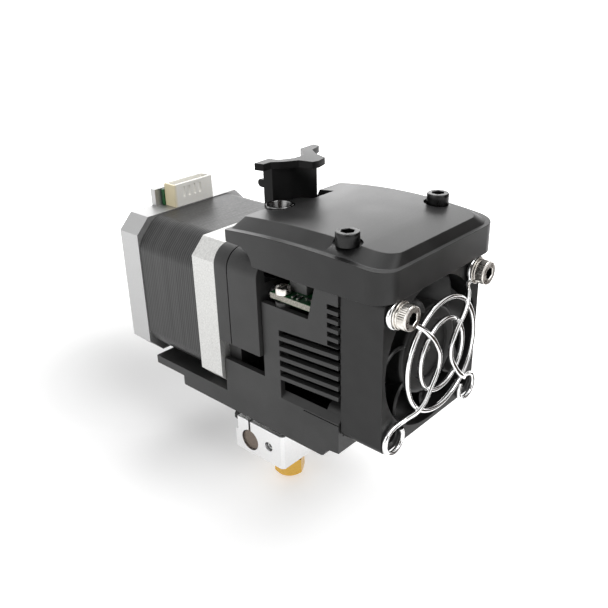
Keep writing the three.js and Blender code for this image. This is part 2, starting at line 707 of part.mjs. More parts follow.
function idlerSpring() {
  const mean = spring.outer - spring.wire;
  const length = springX1 - springX0 - 2 * spring.wire;
  class Helix extends THREE.Curve {
    getPoint(t, target = new THREE.Vector3()) {
      const angle = 2 * Math.PI * spring.turns * t;
      return target.set(springX0 + spring.wire + length * t, feedY + mean * Math.cos(angle),
        spring.rise + mean * Math.sin(angle));
    }
  }
  const helix = new Helix();
  console.log('least gap of the idler spring to itself, mm:', leastGap(helix, spring).toFixed(2));
  return wireAlong(helix, spring.wire, spring.sides, spring.turns * spring.steps);
}

place('mount_plate', 'blackPlastic', mountPlate());
const mountPlaces = screwPlaces.filter(([x, z]) => x > 0 || z < 0);
mountPlaces.forEach(([x, z], i) => place(`mount_screw_${i + 1}`, 'blackSteel', mountScrew(x, z)));
place('drive_gear', 'brass', driveGear());
place('gear_grub_screw', 'blackSteel', gearGrub());
place('idler_lever', 'blackPlastic', idlerLever());
place('idler_axle', 'steel', rollerAxle());
place('idler_roller', 'steel', idlerRoller());
place('idler_pivot_pin', 'steel', pivotPin());
place('idler_spring', 'steel', idlerSpring());

// Housing

// Outline of a side wall: the left one is open at the lever and at the board window
function sideOutline(open) {
  const shape = new THREE.Shape();
  const brow = -shell.windowFront - shell.windowLean;
  shape.moveTo(-gap, shell.floor);
  if (open) {
    shape.lineTo(-gap, shell.rearWall);
    shape.lineTo(-shell.pocketFront, shell.rearWall);
    shape.lineTo(-shell.pocketFront, shell.panelTop);
    shape.lineTo(-shell.windowFront, shell.panelTop);
    shape.lineTo(brow, shell.windowTop);
    shape.lineTo(brow, shell.top);
  } else {
    shape.lineTo(-gap, plate.skirt - gap);
    shape.lineTo(leverRear, plate.skirt - gap);
    shape.lineTo(leverRear, shell.top);
  }
  shape.lineTo(shellFront, shell.top);
  shape.lineTo(shellFront, shell.floor + shell.lipRise);
  shape.lineTo(-shell.stepFront, shell.floor + shell.stepRise);
  shape.absarc(-shell.hook, shell.floor + shell.hookRadius, shell.hookRadius, Math.PI, 1.5 * Math.PI);
  shape.closePath();
  return shape;
}

function floorOutline() {
  const shape = new THREE.Shape();
  shape.moveTo(-gap, shell.floor);
  shape.lineTo(-gap, shell.floor + shell.floorWall);
  shape.lineTo(-shell.hook, shell.floor + shell.floorWall);
  shape.lineTo(-shell.stepFront, shell.floor + shell.stepRise + shell.lipWall);
  shape.lineTo(shellFront, shell.floor + shell.lipRise + shell.lipWall);
  shape.lineTo(shellFront, shell.floor + shell.lipRise);
  shape.lineTo(-shell.stepFront, shell.floor + shell.stepRise);
  shape.absarc(-shell.hook, shell.floor + shell.hookRadius, shell.hookRadius, Math.PI, 1.5 * Math.PI);
  shape.closePath();
  return shape;
}

// Slots rise a little towards the fan, where their ends are open
function ventCuts(x0, x1) {
  const end = shellFront - overrun;
  const slope = vent.rise / (shell.front - vent.rear);
  const slots = Array.from({ length: vent.count }, (_, i) => {
    const top = vent.top - i * vent.pitch;
    const low = i === vent.count - 1 ? top - vent.height - vent.drop : top - vent.height;
    const rise = slope * (-vent.rear - end);
    return alongX(shapeOf([[-vent.rear, low], [-vent.rear, top], [end, top + rise], [end, low + rise]]),
      x0, x1);
  });
  const shorts = Array.from({ length: shortVent.count }, (_, i) => {
    const top = shortVent.top - i * shortVent.pitch;
    return box(x0, x1, end, shellFront + shortVent.length, top - shortVent.height, top);
  });
  return [...slots, ...shorts];
}

// The lowest slot has a sloping sill
function sillCut(outer, inner) {
  const sign = Math.sign(inner - outer);
  const low = vent.top - (vent.count - 1) * vent.pitch - vent.height - vent.drop;
  const shape = shapeOf([
    [outer - sign * overrun, low - vent.ledge - overrun], [inner + sign * overrun, low + overrun],
    [inner + sign * overrun, low + vent.drop], [outer - sign * overrun, low + vent.drop],
  ]);
  return alongY(shape, shellFront - overrun, -vent.rear);
}

function sideWall(x0, x1, open) {
  const outer = open ? x0 : x1;
  const inner = open ? x1 : x0;
  return cut(alongX(sideOutline(open), x0, x1), ...ventCuts(x0 - overrun, x1 + overrun),
    sillCut(outer, inner));
}

function housing() {
  const bossReach = shellFront + fanBoss.length;
  const fanPlaces = corners(fanPitch / 2).map(([x, z]) => [fanX + x, fanZ + z]);
  const postTop = lidScrew.lugBase - gap;
  const beam = shell.wall + shell.lipWall;
  const body = join(
    sideWall(shellLeft, shellLeft + shell.wall, true),
    sideWall(shellRight - shell.wall, shellRight, false),
    alongX(floorOutline(), shellLeft, shellRight),
    box(shellLeft, shellRight, shellFront, shellFront + shell.wall, shell.floor + shell.lipRise,
      shell.lipTop),
    box(shellLeft, shellRight, shellFront, shellFront + beam, shell.beamBase, shell.top),
    box(shellLeft, shellRight, -foot.root, foot.thickLength, shell.floor, foot.top),
    box(shellLeft, shellRight, foot.thickLength - weldSink, motor.length - foot.setback, foot.top - foot.thin,
      foot.top),
    ...fanPlaces.map(([x, z]) => rodY(fanBoss.radius, x, z, shellFront, bossReach, smallSides)),
    ...boardScrewX.map((x) => rodZ(boardScrew.boss, x, boardScrewY, boardScrew.bossFoot,
      board.under - gap, smallSides)),
    ...Object.values(sides).map((side) => rodZ(lidScrew.post, side * lidScrewX, lid.screwY, shell.beamBase,
      postTop, smallSides)),
  );
  return cut(
    body,
    rodZ(shell.breakHole, filamentX, feedY, shell.floor - overrun, shell.floor + shell.floorWall + overrun,
      midSides),
    ...fanPlaces.map(([x, z]) => rodY(fanScrew.radius + gap, x, z, shellFront - overrun,
      bossReach + overrun, smallSides)),
    ...boardScrewX.map((x) => rodZ(boardScrew.radius + gap, x, boardScrewY, boardScrew.bossFoot + overrun,
      board.under, smallSides)),
    ...Object.values(sides).map((side) => rodZ(
      lidScrew.radius + gap, side * lidScrewX, lid.screwY, shell.beamBase - overrun, postTop + overrun,
        smallSides)),
    ...Object.values(sides).map((side) => rodZ(
      footHole.radius, shell.centre + side * footHole.spread, footHole.y, shell.floor - overrun,
        shell.floor + footHole.depth, smallSides)),
    rodZ(sinkScrew.radius + gap, sinkScrew.x, sinkScrew.y, shell.floor - overrun,
      shell.floor + shell.floorWall + overrun, smallSides),
    rodZ(sinkScrew.headRadius + gap, sinkScrew.x, sinkScrew.y, shell.floor - overrun,
      shell.floor + sinkScrew.head + gap, smallSides),
  );
}

// Heatsink: block under the gear, spine in front of it, level fins towards the fan
function heatsink() {
  const spineRear = Math.min(-shaft.reach, gearHubFront, leverFront) - sink.shaftRoom;
  const spineFront = spineRear - sink.wall;
  const pitch = (sink.top - sink.base - sink.fin) / (sink.fins - 1);
  const fins = Array.from({ length: sink.fins }, (_, i) => {
    const z = sink.base + i * pitch;
    return box(-sink.half, sink.half, -sink.front, spineFront + weldSink, z, z + sink.fin);
  });
  const screwTop = shell.floor + sinkScrew.head + gap + sinkScrew.length + gap;
  return cut(
    join(
      box(-sink.blockHalf, sink.blockHalf, spineRear - weldSink, leverRear, sink.base, sink.blockTop),
      box(-sink.half, sink.half, spineFront, spineRear, sink.base, sink.top),
      ...fins,
    ),
    rodZ(guide.outer + gap, filamentX, feedY, guide.foot - gap, sink.blockTop + overrun, smallSides),
    rodZ(guide.bore, filamentX, feedY, sink.base, guide.foot, smallSides),
    rodZ(breakTube.radius + gap, filamentX, feedY, sink.base - overrun,
      sink.base + breakTube.topThread + gap, smallSides),
    rodZ(sinkScrew.radius + gap, sinkScrew.x, sinkScrew.y, sink.base - overrun, screwTop, smallSides),
  );
}

function heatsinkScrew() {
  const headTop = shell.floor + sinkScrew.head;
  const screw = cut(
    join(
      rodZ(sinkScrew.headRadius, 0, 0, shell.floor, headTop, smallSides),
      rodZ(sinkScrew.radius, 0, 0, headTop - weldSink, headTop + gap + sinkScrew.length, smallSides),
    ),
    rodZ(sinkScrew.hex / Math.cos(Math.PI / 6), 0, 0, shell.floor - overrun,
      shell.floor + sinkScrew.hexDepth, 6),
  );
  return screw.translate([sinkScrew.x, sinkScrew.y, 0]);
}

function filamentGuide() {
  return ringZ(guide.outer, guide.bore, guide.foot, guide.top, smallSides).translate([filamentX, feedY, 0]);
}

function heatBreak() {
  const top = sink.base + breakTube.topThread;
  const bottom = block.top - breakTube.into;
  const tube = turnedZ([
    [breakTube.bore, bottom], [breakTube.radius, bottom], [breakTube.radius, breakTube.neckFoot],
    [breakTube.neck, breakTube.neckFoot], [breakTube.neck, breakTube.neckTop],
      [breakTube.radius, breakTube.neckTop],
    [breakTube.radius, top], [breakTube.bore, top], [breakTube.bore, bottom],
  ], smallSides);
  return tube.translate([filamentX, feedY, 0]);
}

place('housing', 'blackPlastic', housing());
place('heatsink', 'aluminium', heatsink());
place('heatsink_screw', 'blackSteel', heatsinkScrew());
place('filament_guide', 'clearPolymer', filamentGuide());
place('heat_break', 'steel', heatBreak());

// Hot side

const blockLeft = filamentX - block.left;
const blockRight = filamentX + block.right;
const blockFront = feedY - block.front;
const blockRear = feedY + block.rear;
const blockBase = block.top - block.height;
const cartridgeY = feedY + block.cartridgeBack;
const cartridgeZ = block.top - block.cartridgeDrop;
const clampX = filamentX - clampScrew.left;
const clampZ = block.top - clampScrew.drop;
const upperRear = blockRear - block.step;
const probeZ = cartridgeZ - probe.drop / 2;

function heaterBlock() {
  const plan = shapeOf([
    [blockLeft + block.chamfer, blockFront], [blockRight, blockFront], [blockRight, blockRear],
      [blockLeft, blockRear],
    [blockLeft, blockFront + block.chamfer],
  ]);
  return cut(
    alongZ(plan, blockBase, block.top),
    box(blockLeft - overrun, blockRight + overrun, upperRear, blockRear + overrun,
      block.top - block.stepDrop, block.top + overrun),
    rodX(cartridge.radius + gap, cartridgeY, cartridgeZ, blockLeft - overrun, blockRight + overrun,
      midSides + tinySides),
    box(blockLeft - overrun, blockRight + overrun, cartridgeY - block.slit / 2,
      cartridgeY + block.slit / 2, cartridgeZ, block.top + overrun),
    rodZ(block.bore, filamentX, feedY, blockBase - overrun, block.top + overrun, midSides),
    rodX(blockGrub.radius + gap, feedY + block.grubBack, block.top - block.grubDrop, blockLeft - overrun,
      filamentX, smallSides),
    rodY(clampScrew.radius + gap, clampX, clampZ, upperRear - clampScrew.reach - gap, upperRear + overrun,
      smallSides),
    rodX(probe.radius + gap, feedY, probeZ, blockRight - probe.length - gap, blockRight + overrun,
      smallSides),
  );
}

function heaterCartridge() {
  const x0 = blockLeft + cartridge.setback;
  const bootEnd = blockRight + cartridge.boot;
  const leads = [-1, 1].map((side) => rodX(
    cartridge.leads, cartridgeY + side * cartridge.spread, cartridgeZ, bootEnd - weldSink,
      bootEnd + cartridge.tail, tinySides));
  return join(rodX(cartridge.radius, cartridgeY, cartridgeZ, x0, bootEnd, midSides + tinySides), ...leads);
}

function thermistor() {
  return rodX(probe.radius, feedY, probeZ, blockRight - probe.length, blockRight + probe.tail, smallSides);
}

function blockGrubScrew() {
  const x0 = blockLeft + blockGrub.recess;
  return cut(
    rodX(blockGrub.radius, feedY + block.grubBack, block.top - block.grubDrop, x0, x0 + blockGrub.length,
      smallSides),
    rodX(blockGrub.radius / 2, feedY + block.grubBack, block.top - block.grubDrop, x0 - overrun,
      x0 + blockGrub.length / 2, 6),
  );
}

function blockClampScrew() {
  const seat = upperRear + gap;
  return cut(
    join(
      rodY(clampScrew.radius, clampX, clampZ, upperRear - clampScrew.reach, seat + weldSink, smallSides),
      rodY(clampScrew.headRadius, clampX, clampZ, seat, seat + clampScrew.head, smallSides),
    ),
    rodY(clampScrew.hex / Math.cos(Math.PI / 6), clampX, clampZ,
      seat + clampScrew.head - clampScrew.hexDepth, seat + clampScrew.head + overrun, 6),
  );
}

function brassNozzle() {
  const hexTop = blockBase - nozzle.hexTop;
  const hexBase = hexTop - nozzle.hexHeight;
  const tip = hexBase - nozzle.cone;
  const threadTop = block.top - breakTube.into - gap;
  const hex = rodZ(nozzle.hex / Math.cos(Math.PI / 6), 0, 0, hexBase, hexTop, 6);
  const core = turnedZ([[0, tip], [nozzle.tip, tip], [nozzle.coneBase, hexBase + weldSink],
    [0, hexBase + weldSink]], smallSides);
  const bore = turnedZ([
    [0, tip - overrun], [nozzle.orifice, tip - overrun], [nozzle.orifice, tip + nozzle.tip],
    [nozzle.bore, tip + 2 * nozzle.tip],
    [nozzle.bore, threadTop + overrun], [0, threadTop + overrun],
  ], tinySides);
  const body = join(hex, core, rodZ(nozzle.thread, 0, 0, hexTop - weldSink, threadTop, midSides));
  return cut(body, bore).translate([filamentX, feedY, 0]);
}

place('heater_block', 'aluminium', heaterBlock());
place('heater_cartridge', 'ceramic', heaterCartridge());
place('thermistor', 'steel', thermistor());
place('block_grub_screw', 'blackSteel', blockGrubScrew());
place('block_clamp_screw', 'blackSteel', blockClampScrew());
place('nozzle', 'brass', brassNozzle());

// Filament inlet

function inletTube() {
  return ringZ(inlet.tube, inlet.bore, inlet.floor, inlet.top, smallSides).translate([filamentX, feedY, 0]);
}

function inletCollar() {
  const inner = inlet.tube + gap;
  const lip = (inlet.collar - inlet.mouth) / 2;
  const ring = turnedZ([
    [inner, inlet.collarFoot], [inlet.collar, inlet.collarFoot], [inlet.collar, inlet.collarTop - lip],
    [inlet.collar - lip, inlet.collarTop], [inlet.mouth, inlet.collarTop - lip], [inner, inlet.top],
      [inner, inlet.collarFoot],
  ], midSides);
  return ring.translate([filamentX, feedY, 0]);
}

place('inlet_tube', 'clearPolymer', inletTube());
place('inlet_collar', 'blackSteel', inletCollar());

// Circuit board

function circuitBoard() {
  return cut(
    box(boardLeft, boardRight, -board.front, boardRear, board.under, boardTop),
    ...boardScrewX.map((x) => rodZ(board.hole, x, boardScrewY, board.under - overrun, boardTop + overrun,
      smallSides)),
  );
}

function boardScrewAt(x) {
  const seat = boardTop;
  const headTop = seat + boardScrew.head;
  const screw = cut(
    join(
      rodZ(boardScrew.radius, 0, 0, board.under - boardScrew.thread, seat + weldSink, smallSides),
      rodZ(boardScrew.headRadius, 0, 0, seat, headTop, smallSides),
    ),
    box(-boardScrew.headRadius / 2, boardScrew.headRadius / 2, -boardScrew.cross / 2, boardScrew.cross / 2,
      headTop - boardScrew.crossDepth, headTop + overrun),
    box(-boardScrew.cross / 2, boardScrew.cross / 2, -boardScrew.headRadius / 2, boardScrew.headRadius / 2,
      headTop - boardScrew.crossDepth, headTop + overrun),
  );
  return screw.translate([x, boardScrewY, 0]);
}

function boardConnector() {
  const x1 = boardPlug.left + boardPlug.width;
  const y0 = -boardPlug.rear - boardPlug.length;
  const top = boardTop + boardPlug.height;
  return cut(
    box(boardPlug.left, x1, y0, -boardPlug.rear, boardTop, top),
    box(
      boardPlug.left + boardPlug.wall, x1 - boardPlug.wall, y0 + boardPlug.wall,
        -boardPlug.rear - boardPlug.wall,
      boardTop + boardPlug.floor, top + overrun,
    ),
  );
}

place('circuit_board', 'solderMask', circuitBoard());
place('board_screw_left', 'steel', boardScrewAt(boardScrewX[0]));
place('board_screw_right', 'steel', boardScrewAt(boardScrewX[1]));
place('board_connector', 'greyPlastic', boardConnector());

// Lid

// Outline as pairs of points, rear to front: square rear corners, round front ones and sides that bow out
// a little
function lidRing(inset, endInset, height) {
  const halfWidth = lidHalf - lid.bow - inset;
  const rear = -lid.rear - endInset - lid.edge;
  const radius = Math.max(lid.corner - inset, lid.edge);
  const front = -lid.front + endInset + radius;
  const quarter = Array.from({ length: cornerSteps + 1 }, (_, i) => i / cornerSteps * Math.PI / 2);
  const side = Array.from({ length: lid.sideSteps - 1 }, (_, i) => (i + 1) / lid.sideSteps);
  const stations = [
    ...quarter.map((turn) => [
      halfWidth - lid.edge + lid.edge * Math.sin(turn), rear + lid.edge * Math.cos(turn),
    ]),
    ...side.map((along) => [halfWidth + lid.bow * 4 * along * (1 - along), rear + along * (front - rear)]),
    ...quarter.map((turn) => [halfWidth - radius + radius * Math.cos(turn),
      front - radius * Math.sin(turn)]),
  ];
  return stations.map(([reach, y]) => [reach, y, height(y)]);
}

function crowned(height) {
  return (y) => height - lid.crown * ((y + lid.crownMiddle) / lid.crownReach) ** 2;
}

// Skin through a pile of rings, closed at the bottom and over the top
function lofted(rings) {
  const stations = rings[0].length;
  const positions = rings.flatMap((ring) => ring.flatMap(([reach, y, z]) =>
    [lid.centre - reach, y, z, lid.centre + reach, y, z]));
  const left = (ring, station) => 2 * (ring * stations + station);
  const right = (ring, station) => left(ring, station) + 1;
  const index = [];
  const quad = (a, b, c, d) => index.push(a, b, c, a, c, d);
  for (let r = 0; r < rings.length - 1; r += 1) {
    for (let s = 0; s < stations - 1; s += 1) {
      quad(left(r, s), left(r, s + 1), left(r + 1, s + 1), left(r + 1, s));
      quad(right(r, s + 1), right(r, s), right(r + 1, s), right(r + 1, s + 1));
    }
    quad(right(r, 0), left(r, 0), left(r + 1, 0), right(r + 1, 0));
    quad(left(r, stations - 1), right(r, stations - 1), right(r + 1, stations - 1),
      left(r + 1, stations - 1));
  }
  const last = rings.length - 1;
  for (let s = 0; s < stations - 1; s += 1) {
    quad(left(last, s), left(last, s + 1), right(last, s + 1), right(last, s));
    quad(right(0, s), right(0, s + 1), left(0, s + 1), left(0, s));
  }
  const geometry = new THREE.BufferGeometry();
  geometry.setAttribute('position', new THREE.BufferAttribute(Float32Array.from(positions), 3));
  geometry.setIndex(index);
  return solid(geometry);
}

function lidBody() {
  const { edge, rim, bevel, wall } = lid;
  const outer = lofted([
    lidRing(0, 0, () => lid.skirt),
    lidRing(0, 0, crowned(lid.shoulder - edge)),
    lidRing(edge * (1 - Math.SQRT1_2), edge * (1 - Math.SQRT1_2),
      crowned(lid.shoulder - edge * (1 - Math.SQRT1_2))),
    lidRing(edge, edge, crowned(lid.shoulder)),
    lidRing(rim, lid.rimEnds, crowned(lid.shoulder)),
    lidRing(rim + bevel, lid.rimEnds + lid.bevelEnds, crowned(lid.plateau)),
  ]);
  const cavity = lofted([
    lidRing(wall, wall, () => lid.skirt - overrun),
    lidRing(wall, wall, crowned(lid.shoulder - wall)),
    lidRing(rim + gap, lid.rimEnds + wall / 2, crowned(lid.shoulder - wall)),
    lidRing(rim + bevel + gap, lid.rimEnds + lid.bevelEnds + wall / 2, crowned(lid.plateau - wall)),
  ]);
  return { outer, cavity };
}

// Open below and behind, over the mount plate and the lever
function archOutline() {
  const shape = new THREE.Shape();
  const floor = lid.skirt - overrun;
  shape.moveTo(0, floor);
  shape.lineTo(-lid.archMiddle - lid.archReach, floor);
  shape.absarc(-lid.archMiddle, lid.rearSkirt - lid.archReach, lid.archReach, Math.PI, Math.PI / 2, true);
  shape.lineTo(0, lid.rearSkirt);
  shape.closePath();
  return shape;
}

const bracketFace = bracketFaceShares.map(([across, ahead]) => [
  bracket.left + across * bracket.span, -bracket.face - ahead * bracket.bow,
]);

// Cut-out that the bracket stands in, with room for a cable in front of its right half
function bracketOpening() {
  const rear = -lid.rear + overrun;
  const left = filamentX - inlet.collar / 2;
  const right = bracket.left + bracket.span;
  const face = bracketFace.slice(1, -1).map(([x, y]) => [x, y - bracket.clearance]);
  return shapeOf([
    [left, rear], [left, face[0][1]], ...face, [bracket.clearLeft, -bracket.clearFront],
      [right, -bracket.clearFront],
    [right + bracket.clearance, rear],
  ]);
}

function lidCover() {
  const { outer, cavity } = lidBody();
  const pair = Object.values(sides);
  const lugs = pair.map((side) => rodZ(lidScrew.lug, side * lidScrewX, lid.screwY, lidScrew.lugBase,
    lid.plateau, midSides));
  const shellBody = outer.subtract(cavity);
  const inner = outer.intersect(join(...lugs));
  return cut(
    join(shellBody, inner),
    alongX(archOutline(), lid.centre - lidHalf - overrun, lid.centre + lidHalf + overrun),
    alongZ(bracketOpening(), lid.rearSkirt - overrun, lid.plateau + overrun),
    rodZ(inlet.collar + gap, filamentX, feedY, lid.rearSkirt, lid.plateau + overrun),
    ...pair.flatMap((side) => [
      rodZ(lidScrew.pocket, side * lidScrewX, lid.screwY, lidScrew.seat, lid.plateau + overrun, midSides),
      rodZ(lidScrew.radius + gap, side * lidScrewX, lid.screwY, lid.skirt, lid.plateau, smallSides),
    ]),
  );
}

function lidScrewAt(side) {
  const headTop = lidScrew.seat + lidScrew.head;
  const screw = cut(
    join(
      rodZ(lidScrew.radius, 0, 0, lidScrew.seat - lidScrew.reach, lidScrew.seat + weldSink, smallSides),
      rodZ(lidScrew.headRadius, 0, 0, lidScrew.seat, headTop, midSides),
    ),
    hexSocketZ(lidScrew.hex, 0, 0, headTop, lidScrew.hexDepth),
  );
  return screw.translate([side * lidScrewX, lid.screwY, 0]);
}

place('lid', 'lidPlastic', lidCover());
place('lid_screw_left', 'blackSteel', lidScrewAt(sides.left));
place('lid_screw_right', 'blackSteel', lidScrewAt(sides.right));

// Cable bracket

function bracketWall() {
  const back = bracketFace.slice(1).reverse().map(([x, y]) => [x, y + bracket.wall]);
  return shapeOf([...bracketFace, ...back, [bracket.left + bracket.wall, -bracket.rear],
    [bracket.left, -bracket.rear]]);
}

// Three arms for cable ties: one to the left, one ahead and one behind on the right
function bracketPlate() {
  const shares = [...armLeftShares, ...barFrontShares, ...barRearShares, ...plateBackShares];
  return shapeOf(shares.map(([across, ahead]) => [
    bracket.plateLeft + across * bracket.plateWidth, -bracket.plateRear - ahead * bracket.plateDepth,
  ]));
}

function cableBracket() {
  const floor = half + gap;
  const under = bracket.top - bracket.plateWall;
  const pegTop = bracket.pegFoot + bracket.pegHeight;
  const pegMiddle = (bracket.pegFoot + pegTop) / 2;
  const pegEnd = -bracket.rear + bracket.peg - bracket.pegHeight / 2;
  const inner = bracket.left + bracket.wall;
  const right = bracket.left + bracket.span;
  return cut(
    join(
      alongZ(bracketWall(), floor, under + weldSink),
      alongZ(bracketPlate(), under, bracket.top),
      box(bracket.footLeft, right, -bracket.footFront, -bracket.footRear, floor, floor + bracket.footWall),
      box(bracket.left, inner, -bracket.rear - weldSink, pegEnd, bracket.pegFoot, pegTop),
      rodX(bracket.pegHeight / 2, pegEnd, pegMiddle, bracket.left, inner, midSides),
    ),
    ...bracket.screws.map((x) => rodZ(
      bracketScrew.radius + gap, x, bracket.screwY, floor - overrun, floor + bracket.footWall + overrun,
        smallSides)),
  );
}

function bracketScrewAt(x) {
  const seat = half + gap + bracket.footWall;
  const headTop = seat + bracketScrew.head;
  const screw = cut(
    join(
      rodZ(bracketScrew.radius, 0, 0, seat - bracketScrew.thread, seat + weldSink, smallSides),
      rodZ(bracketScrew.headRadius, 0, 0, seat, headTop, smallSides),
    ),
    hexSocketZ(bracketScrew.hex, 0, 0, headTop, bracketScrew.hexDepth),
  );
  return screw.translate([x, bracket.screwY, 0]);
}

place('cable_bracket', 'blackPlastic', cableBracket());
place('bracket_screw_left', 'blackSteel', bracketScrewAt(bracket.screws[0]));
place('bracket_screw_right', 'blackSteel', bracketScrewAt(bracket.screws[1]));

// Fan

function fanFrame() {
  const h = fan.side / 2;
  const outline = roundedShape(fanX - h, fanX + h, fanZ - h, fanZ + h, fan.corner);
  const hollow = cut(
    alongY(outline, fanFront, fanRear),
    rodY(fan.bore, fanX, fanZ, fanFront - overrun, fanRear + overrun, midSides + roundSides),
  );
  const heel = new THREE.Shape();
  heel.moveTo(fanRear + overrun, fanZ - h - overrun);
  heel.lineTo(fanRear - fan.heel, fanZ - h - overrun);
  heel.lineTo(fanRear - fan.heel, fanZ - h);
  heel.absarc(fanRear - fan.heel, fanZ - h + fan.heel, fan.heel, -Math.PI / 2, 0);
  heel.lineTo(fanRear + overrun, fanZ - h + fan.heel);
  heel.closePath();
  const baseFront = fanRear - fan.baseWall;
  const strut = box(0, fan.bore + weldSink, baseFront, fanRear, -fan.strut / 2, fan.strut / 2);
  const struts = Array.from({ length: fan.struts }, (_, i) => (
    strut.rotate([0, 360 * (i + 1 / 2) / fan.struts, 0]).translate([fanX, 0, fanZ])
  ));
  const centre = join(
    rodY(fan.base, fanX, fanZ, baseFront, fanRear, midSides),
    rodY(fan.tube, fanX, fanZ, baseFront - fan.tubeLength, baseFront + weldSink, smallSides),
    ...struts,
  );
  return cut(
    join(hollow, centre),
    alongX(heel, fanX - h - overrun, fanX + h + overrun),
    rodY(fan.shaft + gap, fanX, fanZ, baseFront - fan.tubeLength - overrun, baseFront, smallSides),
    ...corners(fanPitch / 2).map(([x, z]) => rodY(fan.hole, fanX + x, fanZ + z, fanFront - overrun,
      fanRear + overrun, smallSides)),
  );
}

const fanBaseFront = fanRear - fan.baseWall;
const hubFront = fanFront + fan.recess;
const hubRear = hubFront + fan.hubDepth;

function fanStator() {
  const front = hubFront + fan.hubWall + gap;
  const y0 = front + gap;
  const y1 = fanBaseFront - gap;
  const arm = box(0, fan.poleTip, y0, y1, -fan.poleWidth / 2, fan.poleWidth / 2);
  const arms = Array.from({ length: fan.poles }, (_, i) =>
    arm.rotate([0, 360 * i / fan.poles, 0]).translate([fanX, 0, fanZ]));
  return cut(
    join(rodY(fan.core + fan.poleWidth / 2, fanX, fanZ, y0, y1, smallSides), ...arms),
    rodY(fan.tube + gap, fanX, fanZ, y0 - overrun, y1 + overrun, smallSides),
  );
}

// Blade drawn as a swept strip across the airway, then turned as it runs back
function fanBlade() {
  const steps = 2;
  const edge = (side) => Array.from({ length: steps + 2 }, (_, i) => {
    const share = i / (steps + 1);
    const r = fan.hub - weldSink + share * (fan.bladeTip - fan.hub + weldSink);
    const angle = fan.bladeSweep * Math.PI / 180 * share * share + side * fan.bladeWall / 2 / r;
    return [r * Math.cos(angle), r * Math.sin(angle)];
  });
  const outline = shapeOf([...edge(-1), ...edge(1).reverse()]);
  const geometry = new THREE.ExtrudeGeometry(outline,
    { depth: fan.bladeDepth, steps, bevelEnabled: false });
  geometry.applyMatrix4(frontView).translate(0, hubFront + fan.bladeDepth, 0);
  const spot = geometry.attributes.position;
  for (let i = 0; i < spot.count; i += 1) {
    const turn = fan.bladeTwist * Math.PI / 180 * (spot.getY(i) - hubFront) / fan.bladeDepth;
    const [x, z] = [spot.getX(i), spot.getZ(i)];
    spot.setXYZ(i, x * Math.cos(turn) - z * Math.sin(turn), spot.getY(i),
      x * Math.sin(turn) + z * Math.cos(turn));
  }
  return solid(geometry);
}

function fanRotor() {
  const bore = fan.shaft + gap;
  const back = hubFront + fan.hubWall;
  const cup = turnedY([
    [bore, hubFront], [fan.hub - fan.hubWall, hubFront], [fan.hub, back], [fan.hub, hubRear],
      [fan.hub - fan.hubWall, hubRear],
    [fan.hub - fan.hubWall, back], [bore, back], [bore, hubFront],
  ]);
  const blade = fanBlade();
  const blades = Array.from({ length: fan.blades }, (_, i) => blade.rotate([0, 360 * i / fan.blades, 0]));
  return join(cup, ...blades).translate([fanX, 0, fanZ]);
}

function fanShaft() {
  return rodY(fan.shaft, fanX, fanZ, hubFront + gap, fanBaseFront - 2 * gap, smallSides);
}

place('fan_frame', 'fanPlastic', fanFrame());
place('fan_stator', 'copper', fanStator());
place('fan_rotor', 'fanPlastic', fanRotor());
place('fan_shaft', 'steel', fanShaft());

// Finger guard and its screws

const eyeletY = fanFront - guard.rest - guard.wire;
const ringStandY = fanFront - guard.ringStand;

function wireRing(radius, x, y, z, steps) {
  const geometry = new THREE.TorusGeometry(radius, guard.wire, guard.sides, steps).rotateX(Math.PI / 2);
  return solid(geometry.translate(x, y, z));
}

// Arms run from the top eyelets, pass each side of the middle and end in loops that are left a little open
function guardArm(side) {
  const pitch = fanPitch / 2;
  const reach = fanFront - guard.armStand - eyeletY;
  const run = guardArmShares.map(([across, up, out]) =>
    [across * pitch, eyeletY + out * reach, up * pitch]);
  const hook = Array.from({ length: guard.hookSteps + 1 }, (_, i) => {
    const turn = (guard.hookFrom + (guard.hookTo - guard.hookFrom) * i / guard.hookSteps) * Math.PI / 180;
    return [pitch + guard.hook * Math.cos(turn), eyeletY,
      guard.hook * Math.sin(turn) - pitch - guard.hookDrop];
  });
  const points = [...run, ...hook].map(([x, y, z]) => new THREE.Vector3(fanX + side * x, y, fanZ + z));
  return wireAlong(new THREE.CatmullRomCurve3(points), guard.wire, guard.sides, guard.armSteps);
}

function fanGuard() {
  const pitch = fanPitch / 2;
  return join(
    wireRing(guard.outerRing, fanX, ringStandY, fanZ, guard.ringSteps),
    wireRing(guard.innerRing, fanX, ringStandY, fanZ, guard.ringSteps),
    ...Object.values(sides).flatMap((side) => [
      guardArm(side),
      wireRing(guard.eyelet, fanX + side * (pitch + guard.eyeletOut), eyeletY, fanZ + pitch, midSides),
    ]),
  );
}

const washerFace = eyeletY - guard.wire - guard.rest;
const springFace = washerFace - fanScrew.washerWall;
const headFace = springFace - fanScrew.springWall;

function atFanEye(side, body) {
  return body.translate([fanX + side * fanPitch / 2, 0, fanZ + fanPitch / 2]);
}

function fanWasher(side) {
  return atFanEye(side, ringY(fanScrew.washer, fanScrew.bore, springFace, washerFace, midSides));
}

function fanSpringWasher(side) {
  const ring = ringY(fanScrew.springOuter, fanScrew.bore, headFace, springFace, midSides);
  return atFanEye(side, cut(ring, box(0, fanScrew.springOuter + overrun, headFace - overrun,
    springFace + overrun, -gap, gap)));
}

function fanScrewAt(side) {
  const face = headFace - fanScrew.head;
  return atFanEye(side, cut(
    join(
      rodY(fanScrew.headRadius, 0, 0, face, headFace, midSides),
      rodY(fanScrew.radius, 0, 0, headFace - weldSink, fanRear + fanScrew.grip, smallSides),
    ),
    hexSocketY(fanScrew.hex, 0, 0, face, fanScrew.hexDepth),
  ));
}

